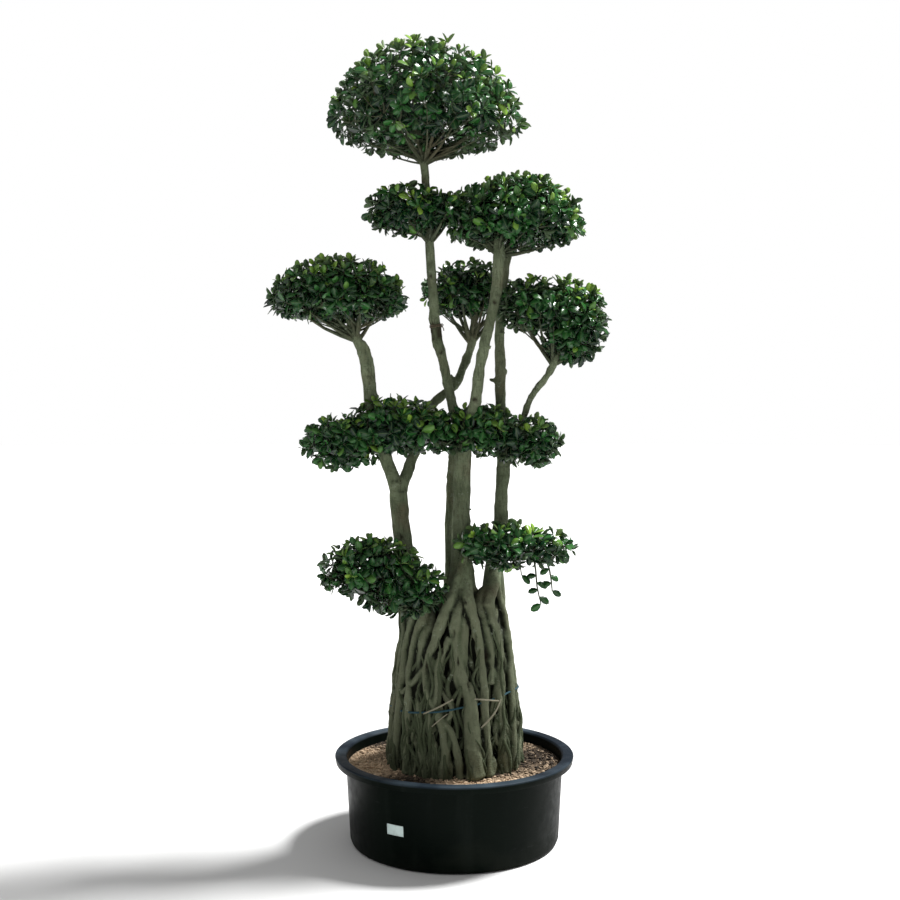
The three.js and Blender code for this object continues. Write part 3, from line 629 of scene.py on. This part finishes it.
def largest_part(mesh):
    """Keeps the largest connected part of a mesh: sealed pockets inside the wood are dropped."""
    bm = bmesh.new()
    bm.from_mesh(mesh)
    waiting, largest = set(bm.verts), []
    while waiting:
        part = [waiting.pop()]
        for corner in part:
            for edge in corner.link_edges:
                other = edge.other_vert(corner)
                if other in waiting:
                    waiting.remove(other)
                    part.append(other)
        if len(part) > len(largest):
            largest = part
    kept = set(largest)
    bmesh.ops.delete(bm, geom=[corner for corner in bm.verts if corner not in kept], context="VERTS")
    bm.to_mesh(mesh)
    bm.free()


largest_part(wood_mesh)

# The grooves between fused roots are drawn deeper, and each point's share of groove is kept: painted
# shade makes the grooves and hollows dark. A point is in a groove or in a hollow if its neighbourhood lies
# outside it.
spots = read(wood_mesh.vertices, "co", float, 3)
ends = read(wood_mesh.edges, "vertices", np.int32, 2)
neighbours = np.bincount(ends.ravel(), minlength=len(spots))[:, None]
outwards = [corner.normal.copy() for corner in wood_mesh.vertices]


def sunk_below(eased, steps):
    """How far each point lies below its neighbourhood, in millimetres, and that neighbourhood."""
    for _ in range(steps):
        total = np.zeros_like(eased)
        np.add.at(total, ends[:, 0], eased[ends[:, 1]])
        np.add.at(total, ends[:, 1], eased[ends[:, 0]])
        eased = total / neighbours
    return np.einsum("ij,ij->i", eased - spots, np.array(outwards)) * 1000, eased


groove, eased = sunk_below(spots, GROOVE_STEPS)
hollow_way, _ = sunk_below(eased, HOLLOW_STEPS - GROOVE_STEPS)
low = np.clip((1120 - 1000 * spots[:, 2]) / 160, 0, 1)
spots -= np.array(outwards) * (1.15 * groove * low / 1000)[:, None]
wood_mesh.vertices.foreach_set("co", spots.ravel())

# Growth that no smooth route has: swellings, wrinkles round the trunks and grain along the roots. The
# bark is dark round the old cuts and where the trunk twine has rubbed it. Painted shade darkens the slits,
# the grooves, the hollows and the wood deep inside the clump, and a painted highlight lightens the ridges.
painted_shades, scars_and_slit_shade, ridge_highlights = [], [], []
for corner, outward, hollow, sunk in zip(wood_mesh.vertices, outwards, groove * low, hollow_way * low):
    x, y, z = corner.co * 1000
    in_clump = clamp((1040 - z) / 120)
    swell = 4.2 * noise.noise(Vector((x, y, z)) / 50)
    swell += (2.6 - in_clump) * noise.noise(Vector((x, y, z)) / 20)
    wrinkle = 0.8 * (1 - in_clump) * noise.noise(Vector((x / 30, y / 30, z / 7)))
    grain = 1.2 * in_clump * noise.noise(Vector((x / 9, y / 9, z / 70)))
    scar = 0.0
    if z > 1040:
        pit = noise.voronoi(Vector((x, y, z)) / PIT_SPACING)[0][0]
        scar = 0.75 * max(0, 1 - pit / 0.15)
        swell += 2.4 * math.exp(-((pit - 0.19) / 0.09) ** 2) - 1.5 * scar
    if math.dist((x, y), (-80, 17)) < 45 and 2090 < z < 2165:
        scar = max(scar, 0.5 + 0.5 * noise.noise(Vector((x, y, z)) / 18))
    for cx, cy, cz, size in CUTS:
        away = math.dist((x, y, z), (cx, cy, cz)) / size
        if away < 2:
            swell += 0.30 * size * math.exp(-4 * (away - 0.85) ** 2)
            swell -= 0.22 * size * math.exp(-5 * away ** 2)
            scar = max(scar, 1 - away / 1.1)
    if y < 0 and 650 < z < 1050:
        for sx, sz, wide, tall in SLITS:
            away = math.hypot((x - sx) / wide, (z - sz) / tall)
            if away < 2.2:
                swell -= 17 * math.exp(-1.6 * away ** 2)
                # Painted shade fills the slit.
                scar = max(scar, 0.9 - away)
    corner.co += outward * (swell + wrinkle + grain) / 1000
    # Painted shade, darkest in the grooves, in the hollows and deep inside the clump.
    depth = clump_radius(z) - math.hypot(x, y) if z < 1000 else 0
    shade_share = 0.75 * clamp((depth - 6) / 44) * in_clump
    shade_share += 0.88 * clamp((hollow - 0.05) / 1.5) + 0.46 * clamp((sunk + 3) / 8) * in_clump
    painted_shades.append(min(1, shade_share))
    # A painted highlight on the ridges, which stand out of their neighbourhood.
    ridge_highlights.append(clamp(-hollow / 2.2))
    scars_and_slit_shade.append(max(0, scar))
store(wood_mesh, "gap", painted_shades)
store(wood_mesh, "scar", scars_and_slit_shade)
store(wood_mesh, "ridge", ridge_highlights)


def bark(name, lighter):
    """Grey-olive fig bark: green with algae low down, paler above, with small raised pores."""
    def shade(*parts):
        return tuple(lighter * part for part in parts)

    skin = Shades(name, 0.85, 0.10)
    along = skin.stretched(1, 0.22)
    around = skin.stretched(0.45, 1.6)
    patches = skin.ramp(skin.noise(9, 4, 0.6), 0.35, 0.70)
    grain = skin.ramp(skin.noise(26, 5, 0.65, along), 0.42, 0.75, 0, 0.75)
    warmth = skin.ramp(skin.noise(5.5, 4), 0.52, 0.72, 0, 0.7)
    fissures = skin.ramp(skin.noise(95, 5, 0.75, along), 0.50, 0.62, 0, 0.55)
    algae = skin.times(skin.ramp(skin.noise(4), 0.38, 0.68),
                       skin.ramp(skin.height(), 0.9, 1.5, 0.62, 0.15))
    pores = skin.ramp(skin.spots(120, around), 0.10, 0.26, 1.0, 0.0)
    specks = skin.ramp(skin.noise(75, 4, 0.7, around), 0.58, 0.72, 0, 0.55)
    # Darker towards the bottom.
    darker_low_down = skin.ramp(skin.height(), 0.70, 1.10, 0.64, 0.0)
    # Old cuts, pits and the rubbed band are dark, and painted shade darkens the slits.
    scars_and_slit_shade = skin.ramp(skin.attribute("scar"), 0.0, 0.6, 0.0, 0.9)
    lichen = skin.times(skin.ramp(skin.noise(34, 5, 0.7), 0.60, 0.66, 0, 0.5),
                        skin.ramp(skin.noise(6, 2), 0.4, 0.6))
    tone = skin.layered(
        skin.mix(patches, shade(0.104, 0.130, 0.074), shade(0.228, 0.266, 0.165)),
        (grain, shade(0.070, 0.082, 0.046)), (warmth, (0.142, 0.118, 0.074)),
        (fissures, (0.040, 0.045, 0.028)), (algae, (0.060, 0.082, 0.038)),
        (skin.times(pores, 0.38), (0.26, 0.27, 0.19)), (specks, (0.038, 0.038, 0.024)),
        # A painted highlight lightens the ridges.
        (darker_low_down, (0.030, 0.038, 0.020)), (skin.times(skin.attribute("ridge"), 0.30), (0.275, 0.290, 0.192)),
        # Painted shade darkens the grooves, the hollows and the wood deep in the clump.
        (skin.times(skin.attribute("gap"), 0.97), (0.006, 0.007, 0.004)), (scars_and_slit_shade, (0.020, 0.015, 0.009)),
        (lichen, (0.27, 0.31, 0.235)))
    rough = skin.sum(skin.noise(42, 6, 0.75, along), skin.times(skin.noise(150, 4, 0.7, around), 0.6))
    return skin.finish(tone, skin.sum(rough, skin.times(pores, 0.35)), 0.009)


finished("wood", wood_mesh, bark("banyan_bark", 1.0), ["wood"])

# Fine roots: thin young roots that have come down over the clump in slow curves, and a few pale dry
# sticks that are caught across it.
FINE_ROOTS = 230
STICKS = [[[-124, -262, 586, 3.5], [-70, -275, 612, 4], [-6, -276, 647, 3.5]],
          [[80, -270, 647, 3], [130, -262, 641, 3.5], [178, -238, 632, 3]],
          [[186, -232, 637, 3.5], [166, -252, 596, 3.5], [137, -262, 560, 4], [106, -272, 532, 3]],
          [[-90, -268, 536, 2.5], [-58, -277, 566, 2.5], [-28, -280, 590, 2]]]
random.seed(8)
surface = BVHTree.FromPolygons([corner.co[:] for corner in wood_mesh.vertices],
                               [tuple(face.vertices) for face in wood_mesh.polygons])


def laid_on_clump(bearing, height, lift):
    """The point over the clump's skin at a bearing and a height, lifted off it, in millimetres."""
    outward = Vector((*facing(bearing), 0))
    start = outward * 0.5 + Vector((0, 0, height / 1000))
    hit = surface.ray_cast(start, -outward)[0]
    spot = (hit if hit is not None else start) * 1000 + outward * lift
    return spot.x, spot.y, height


fine_routes = []
for number in range(FINE_ROOTS):
    bearing = uniform(0, 360)
    top = random.choice((uniform(600, 1000), uniform(430, 680)))
    bottom = 322 if random.random() < 0.72 else uniform(340, top - 90)
    girth = random.choice((2.5, 3.5, 5.5, 8.0)) * uniform(0.8, 1.2)
    slant, phase = uniform(-10, 10), uniform(0, 50)
    steps = max(4, int((top - bottom) / 34))
    route, previous = [], None
    for step in range(steps + 1):
        along = step / steps
        sway = 11 * noise.noise(Vector((phase, along * steps / 3.2, 0))) + slant * along
        lift = girth * (0.5 if step else -1.2)
        x, y, z = laid_on_clump(bearing + sway, top + (bottom - top) * along, lift)
        reach = math.hypot(x, y)
        if previous and abs(reach - previous) > 7:
            kept = previous + math.copysign(7, reach - previous)
            x, y, reach = x * kept / reach, y * kept / reach, kept
        previous = reach
        route.append([x, y, z, girth * (0.3 + 0.8 * min(1, 3 * along)) * (1 if along < 1 else 1.2)])
    fine_routes.append(route)
finished("fine_roots", limbs(fine_routes, 1), bark("fine_root_bark", 1.12))
stick_skin = Shades("dry_sticks", 0.85, 0.2)
stick_tone = stick_skin.mix(stick_skin.noise(60, 4), (0.12, 0.115, 0.078), (0.31, 0.29, 0.21))
dry_bark = stick_skin.finish(stick_tone, stick_skin.noise(240), 0.002)
finished("dry_sticks", limbs(STICKS, 1), dry_bark)

# Root tie: dark green-blue plastic cord pulled tight round the clump on a slope. It dips behind the
# roots that have grown over it.
TIE_RADIUS = 4
TIE_STEP = 5
TAUT_ROUNDS = 300
GROWN_OVER = [(-90, -37), (-5, 76)]
GROWN_OVER_DIP = 16


def tie_height(bearing):
    """Height of the tie, in millimetres: higher on the right than on the left."""
    return 605 + 42 * math.sin(math.radians(bearing))


bearings = range(0, 360, TIE_STEP)
skin_reaches = [math.hypot(*laid_on_clump(bearing, tie_height(bearing), 3)[:2]) for bearing in bearings]
taut = skin_reaches
for _ in range(TAUT_ROUNDS):
    chords = [2 * before * after * math.cos(math.radians(TIE_STEP)) / (before + after)
              for before, after in zip(taut[-1:] + taut[:-1], taut[1:] + taut[:1])]
    taut = [max(reach, chord) for reach, chord in zip(skin_reaches, chords)]
tie_route = []
for bearing, reach in zip(bearings, taut):
    across, back = facing(bearing)
    ahead = (bearing + 180) % 360 - 180
    for start, end in GROWN_OVER:
        reach -= GROWN_OVER_DIP * clamp((ahead - start) / 12) * clamp((end - ahead) / 12)
    tie_route.append([reach * across, reach * back, tie_height(bearing), TIE_RADIUS])


def laid_cord(name, dark, light, strands):
    """Twisted cord: slanting strands that follow the cord's own length, with painted shade in the grooves
    between them.
    """
    lay = Shades(name, 0.6, 0.4)
    along = lay.node("ShaderNodeUVMap").outputs["UV"]
    turns = lay.node("ShaderNodeMapping", Vector=along, Rotation=(0, 0, 0.3), Scale=(strands, 3, 1))
    lay_wave = lay.node("ShaderNodeTexWave", Vector=turns.outputs[0], Scale=1.0, Distortion=0.6)
    wave = lay_wave.outputs["Fac"]
    # The strands' own relief also sets their colour: painted shade in the grooves, lighter on the crests.
    return lay.finish(lay.mix(wave, dark, light), wave, 0.0012)


green_blue_cord = laid_cord("green_blue_cord", (0.003, 0.026, 0.036), (0.010, 0.072, 0.095), 150)
finished("root_tie", limbs([tie_route], 2, 4, True), green_blue_cord, ["root_tie"])

# Trunk twine: two turns of brown jute round the trunk that carries the crown, with the ends knotted
# and left short at the right.
TWINE_MIDDLE = Vector((-78, 16, 2150))
TWINE_LINE = Vector((-0.1, -0.08, 0.99))
TWINE_GIRTH = 24.5
TWINE_TURNS = 2.1
TWINE_STEPS = 40
TWINE_RADIUS = 2.5
KNOT_RADIUS = 2
KNOT = [(20, -14, -8), (27, -10, -2), (31, -6, 5), (27, -4, 9), (24, -9, 4), (28, -13, -3),
        (33, -12, -12), (34, -14, -20)]
lean = Vector((0, 0, 1)).rotation_difference(TWINE_LINE)
twine_route = []
for step in range(TWINE_STEPS + 1):
    along = step / TWINE_STEPS
    turn = 2 * math.pi * TWINE_TURNS * along + 0.4
    spot = Vector((TWINE_GIRTH * math.cos(turn), TWINE_GIRTH * math.sin(turn), -6 + 13 * along))
    twine_route.append([*(TWINE_MIDDLE + lean @ spot), TWINE_RADIUS])
knot_route = [[*(TWINE_MIDDLE + Vector(step)), KNOT_RADIUS] for step in KNOT]
jute = laid_cord("brown_jute", (0.050, 0.038, 0.020), (0.160, 0.122, 0.068), 60)
finished("trunk_twine", limbs([twine_route], 2, 4), jute, ["trunk_twine"])
finished("twine_knot", limbs([knot_route], 2, 4), jute)

# Heads of foliage: each is a fan of branchlets clipped to a dome, with whorls of small oval leaves at
# the tips of its twigs. Each lobe is [x, y, z, half width, half depth, rise, drop] of a head's leafy
# outline round its widest level, and fork is where its fan leaves the wood, all in millimetres.
HEADS = {
    "crown": ([-126, 0, 2820], 15, [[-120, 0, 2985, 400, 368, 334, 120]]),
    "upper_left": ([-104, 0, 2490], 6, [
        [-190, -10, 2620, 185, 170, 120, 105], [-40, -20, 2640, 90, 110, 75, 90]]),
    "upper_right": ([184, -68, 2430], 8, [
        [255, 30, 2560, 285, 270, 225, 95], [75, 90, 2655, 130, 130, 110, 80]]),
    "left": ([-398, -60, 2080], 10, [[-480, -50, 2232, 286, 262, 200, 78]]),
    "back": ([75, 232, 2085], 8, [[65, 265, 2300, 205, 180, 160, 100]]),
    "right": ([410, -10, 1985], 8, [
        [370, 10, 2210, 205, 190, 150, 95], [494, 0, 2150, 150, 155, 205, 162]]),
    "middle_left": ([-318, -48, 1700], 7, [
        [-452, -75, 1662, 182, 165, 122, 116], [-240, -60, 1708, 232, 190, 148, 102],
        [-30, -95, 1680, 105, 80, 85, 70]]),
    "middle_right": ([204, 70, 1640], 7, [
        [308, 20, 1668, 160, 160, 114, 114], [112, 0, 1710, 165, 175, 125, 110]]),
    "low_left": ([-250, -120, 1150], 6, [
        [-335, -190, 1140, 215, 170, 150, 110], [-215, -200, 1075, 185, 150, 130, 120]]),
    "low_right": ([240, -85, 1240], 7, [
        [365, -130, 1235, 135, 140, 85, 80], [200, -150, 1250, 205, 160, 100, 104]]),
}
# Loose twigs that hang under the low right head: their routes, and how many leaves each has
HANGING_TWIGS = [
    ([[262, -150, 1215, 4.5], [268, -156, 1165, 3.6], [272, -158, 1128, 3]], 2),
    ([[318, -148, 1215, 4.5], [330, -154, 1150, 4], [336, -156, 1080, 3.4], [352, -158, 1010, 2.6]], 5),
    ([[352, -140, 1225, 4.5], [380, -146, 1170, 4], [392, -148, 1120, 3.4], [398, -150, 1062, 2.6]], 4),
]
LEAF_LENGTH = 56
LEAF_WIDTH = 31
LEAF_THICKNESS = 0.016
WHORL_SPACING = 44
CROWN_SPACING = 61
SPIRAL_TURN = 2.4
YOUNG_SHARE = 0.06
SUNWARD = Vector((0.50, 0.20, 0.84))
random.seed(31)

# One leaf blade, in units of its own length: a stalk, an oval widest past the middle, a short point
LEAF_STATIONS = [(0.0, 0.0), (0.15, 0.025), (0.34, 0.34), (0.62, 0.50), (0.89, 0.32), (1.0, 0.0)]
bm = bmesh.new()
bmesh.ops.create_uvsphere(bm, u_segments=4, v_segments=5, radius=1,
                          matrix=Matrix.Rotation(math.radians(90), 4, "Y"))
stations = sorted({round(corner.co.x, 4) for corner in bm.verts})
uv = bm.loops.layers.uv.new("UVMap")
under = bm.faces.layers.float.new("under")
for face in bm.faces:
    face[under] = 1.0 if face.calc_center_median().z < 0 else 0.0
    face.smooth = True
for edge in bm.edges:
    edge.smooth = not all(abs(corner.co.z) < 1e-4 for corner in edge.verts)
for corner in bm.verts:
    along, half = LEAF_STATIONS[stations.index(round(corner.co.x, 4))]
    across = 0 if abs(corner.co.y) < 1e-4 else math.copysign(1, corner.co.y)
    for loop in corner.link_loops:
        loop[uv].uv = (0.5 + across / 2, along)
    thick = 0 if abs(corner.co.z) < 1e-4 else math.copysign(LEAF_THICKNESS / 2, corner.co.z)
    fold = 0.30 * half * abs(across) * LEAF_WIDTH / LEAF_LENGTH
    droop = -0.16 * along ** 2
    corner.co = (along, across * half * LEAF_WIDTH / LEAF_LENGTH, fold + droop + thick)
leaf_blade = mesh_from(bm)

leaf = Shades("banyan_leaf", 0.22, 0.32)
tone = leaf.attribute("tone")
mottling = leaf.ramp(leaf.noise(30), 0.45, 0.75, 0, 0.35)
blade_uv = leaf.node("ShaderNodeUVMap").outputs["UV"]
across = leaf.node("ShaderNodeSeparateXYZ", Vector=blade_uv).outputs["X"]
off_middle = leaf.sum(across, -0.5)
midrib = leaf.ramp(leaf.times(off_middle, off_middle), 0.0004, 0.003, 1.0, 0.0)
under_side = leaf.attribute("under")
# The tone runs from dark green in painted shade to yellow-green where a leaf is painted as sunlit or
# young.
green = leaf.layered(
    leaf.mix(leaf.ramp(tone, 0.0, 0.55), (0.0026, 0.0190, 0.0070), (0.026, 0.122, 0.024)),
    (leaf.ramp(tone, 0.55, 1.0), (0.225, 0.390, 0.050)), (mottling, (0.030, 0.070, 0.030)),
    (leaf.times(midrib, 0.55), (0.105, 0.155, 0.055)),
    (leaf.times(under_side, 0.62), (0.085, 0.130, 0.060)))
gloss = leaf.ramp(under_side, 0.0, 1.0, 0.21, 0.55)
blade_relief = leaf.sum(midrib, leaf.times(leaf.noise(220, 2), 0.4))
leaf_green = leaf.finish(green, blade_relief, 0.0006, gloss)

branchlets = []


def within(lobe, spot, margin=0.0):
    """How far a point is from a lobe's middle, as a share of its outline drawn in by a margin."""
    x, y, z, width, depth, rise, drop = lobe
    tall = rise if spot.z > z else drop
    return math.hypot((spot.x - x) / (width - margin), (spot.y - y) / (depth - margin),
                      (spot.z - z) / (tall - margin))


def outward_from(lobe, spot):
    """The direction square to a lobe's outline near a point."""
    x, y, z, width, depth, rise, drop = lobe
    tall = rise if spot.z > z else drop
    square = Vector(((spot.x - x) / width ** 2, (spot.y - y) / depth ** 2, (spot.z - z) / tall ** 2))
    return square.normalized()


def whorl_spots(lobes, spacing):
    """Twig tips through the outer layer of a head, a spacing apart, fewer of them underneath."""
    thinned_under, bare_below = (0.86, -0.18) if spacing == CROWN_SPACING else (0.6, -0.26)
    spots = []
    for lobe in lobes:
        x, y, z, width, depth, rise, drop = lobe
        area = width * depth + (width + depth) * (rise + drop)
        for _ in range(int(area / 45)):
            way = Vector([gauss(0, 1) for _ in range(3)]).normalized()
            if way.z < -0.12 and random.random() < thinned_under:
                continue
            layer = random.choice((1, 1, 1, 1.05, 0.84, 0.66))
            tall = rise if way.z > 0 else drop
            reach = [max(30, size - 32) * layer for size in (width, depth, tall)]
            spot = Vector((x + way.x * reach[0], y + way.y * reach[1], z + way.z * reach[2]))
            in_other = any(other is not lobe and within(other, spot, 30) < 0.8 for other in lobes)
            if in_other or noise.noise(spot / 75) < bare_below:
                continue
            if all((spot - other).length > spacing for other, _ in spots):
                spots.append((spot, lobe))
    return spots


def leaf_place(forward, face, size, spot):
    """The place of one leaf that points forward from a spot in millimetres, with its face turned."""
    across = face.cross(forward).normalized()
    axes = Matrix((forward, across, forward.cross(across))).transposed().to_4x4()
    return Matrix.Translation(spot / 1000) @ axes @ Matrix.Diagonal((size, size, size, 1))


def fan_points(fork, count, lobes):
    """The branchlets of a head from its fork, as routes and as points on them: stout ones up into its
    lobes, and thin bare ones out under them."""
    routes, points = [], []
    for number in range(round(count * 1.6)):
        x, y, z, width, depth, _, drop = lobes[number % len(lobes)]
        bearing = SPIRAL_TURN * number + uniform(-0.3, 0.3)
        share = uniform(0.62, 0.88)
        end = Vector((x + math.cos(bearing) * width * share, y + math.sin(bearing) * depth * share,
                      z - drop * uniform(0.05, 0.50)))
        start = Vector(fork) + Vector((0, 0, uniform(0, 60)))
        sag = Vector((gauss(0, 8), gauss(0, 8), uniform(-20, 8)))
        bend = start.lerp(end, 0.45) + sag
        routes.append([[*start, 4.5], [*bend, 3.2], [*end, 1.8]])
        points += [bend.lerp(end, 0.5), end]
    for number in range(count):
        x, y, z, width, depth, rise, _ = lobes[number % len(lobes)]
        bearing = 2 * math.pi * number / count + uniform(-0.25, 0.25)
        share = uniform(0.45, 0.80)
        end = Vector((x + math.cos(bearing) * width * share, y + math.sin(bearing) * depth * share,
                      z + rise * uniform(-0.12, 0.42)))
        start = Vector(fork)
        bend = start.lerp(end, 0.5) + Vector((gauss(0, 9), gauss(0, 9), -16))
        routes.append([[*start, 9.5], [*bend, 6.5], [*end, 3.5]])
        points += [start.lerp(bend, 0.6), bend, bend.lerp(end, 0.33), bend.lerp(end, 0.66), end]
    return routes, points


for name, (fork, count, lobes) in HEADS.items():
    fan, nodes = fan_points(fork, count, lobes)
    branchlets += fan
    stamps, tones = [], []
    for spot, lobe in whorl_spots(lobes, CROWN_SPACING if name == "crown" else WHORL_SPACING):
        outward = outward_from(lobe, spot)
        stray = Vector([gauss(0, 0.30) for _ in range(3)])
        stem = (outward + Vector((0, 0, 0.30)) + stray).normalized()
        source = min(nodes, key=lambda point: (point - spot).length)
        bend = source.lerp(spot, 0.55) - stem * 12 + Vector((0, 0, -6))
        branchlets.append([[*source, 2.8], [*bend, 2.0], [*spot, 1.4]])
        # Each whorl's tone holds painted light: lighter where the head faces the sun, painted shade deeper
        # inside the head, and random variation.
        shade = 0.20 + 0.36 * max(0, outward.dot(SUNWARD)) + 0.55 * noise.noise(spot / 90)
        shade -= 0.16 * max(0, 1 - within(lobe, spot)) / 0.4
        first = uniform(0, 6.28)
        for number in range(random.randint(8, 10)):
            size = LEAF_LENGTH * uniform(0.80, 1.22) * (0.70 + 0.30 * min(1, number / 4)) / 1000
            tilt = math.radians(20 + 9.5 * number + gauss(0, 10))
            side = stem.orthogonal().normalized()
            turn = first + SPIRAL_TURN * number + gauss(0, 0.25)
            side.rotate(Matrix.Rotation(turn, 3, stem))
            forward = stem * math.cos(tilt) + side * math.sin(tilt)
            forward = (forward + Vector((0, 0, -0.25 * random.random()))).normalized()
            face = stem * math.sin(tilt) - side * math.cos(tilt)
            face += Vector([gauss(0, 0.25) for _ in range(3)])
            place = leaf_place(forward, face, size, spot - stem * (3.0 * number - 6))
            if within(lobe, place @ Vector((1, 0, 0)) * 1000) > 1.12:
                continue
            stamps.append(place)
            # Yellow-green for the youngest leaves of a whorl, strongest on top of a head as painted
            # sunlight, and for a few leaves at random.
            young_and_sunlit = 0.50 * max(0, 1 - number / 4) * max(0, outward.z + 0.2)
            young_and_sunlit += 0.35 if random.random() < YOUNG_SHARE else 0
            tones.append(clamp(gauss(shade + young_and_sunlit, 0.19)))
    if name == "low_right":
        for twig, leaf_count in HANGING_TWIGS:
            branchlets.append(twig)
            hang = [Vector(knot[:3]) for knot in twig]
            for number in range(leaf_count):
                share = (len(hang) - 1.001) * (0.45 + 0.55 * number / (leaf_count - 1))
                spot = hang[int(share)].lerp(hang[int(share) + 1], share % 1)
                side = 0.9 if number % 2 else -0.9
                forward = Vector((side + uniform(-0.3, 0.3), -0.2, uniform(-0.9, -0.1)))
                face = Vector((uniform(-0.4, 0.4), -1, uniform(0.3, 0.9)))
                forward.normalize()
                stamps.append(leaf_place(forward, face, uniform(0.046, 0.060), spot - 8 * forward))
                tones.append(uniform(0.15, 0.85))
    head = f"foliage_{name}"
    finished(head, stamped(leaf_blade, stamps, tones), leaf_green, [head])

# Branchlets: the thin dark twigs of the heads, which fan out from the ends of the limbs and carry the
# whorls of leaves. They are round limbs along the routes that were laid with the leaves.
finished("branchlets", limbs(branchlets, 0, 2), bark("twig_bark", 0.55))

# Studio: a plain pale floor under a white surround, with one large soft light high up on the right and
# a little behind the tree.
FLOOR_RADIUS = 80
SKY_STRENGTH = 0.46
SUN_ENERGY = 6.3
SUN_ANGLE = math.radians(14)
bm = bmesh.new()
bmesh.ops.create_circle(bm, cap_ends=True, segments=96, radius=FLOOR_RADIUS)
floor = placed("floor", mesh_from(bm))
pale = Shades("pale_floor", 0.9, 0.1)
floor.data.materials.append(pale.finish(pale.mix(pale.noise(2), (0.74, 0.74, 0.74), (0.77, 0.77, 0.76))))
world = bpy.data.worlds.new("white surround")
bpy.context.scene.world = world
world.use_nodes = True
nodes, links = world.node_tree.nodes, world.node_tree.links
seen = nodes.new("ShaderNodeLightPath").outputs["Is Camera Ray"]
spread = nodes.new("ShaderNodeMapRange")
spread.inputs["To Min"].default_value = SKY_STRENGTH
links.new(seen, spread.inputs["Value"])
nodes["Background"].inputs["Color"].default_value = (1, 1, 1, 1)
links.new(spread.outputs["Result"], nodes["Background"].inputs["Strength"])
lamp_data = bpy.data.lights.new("soft key", "SUN")
lamp_data.angle = SUN_ANGLE
lamp_data.energy = SUN_ENERGY
lamp = placed("soft key", lamp_data)
lamp.rotation_euler = SUNWARD.to_track_quat("Z", "Y").to_euler()
bpy.context.scene.view_settings.view_transform = "Standard"
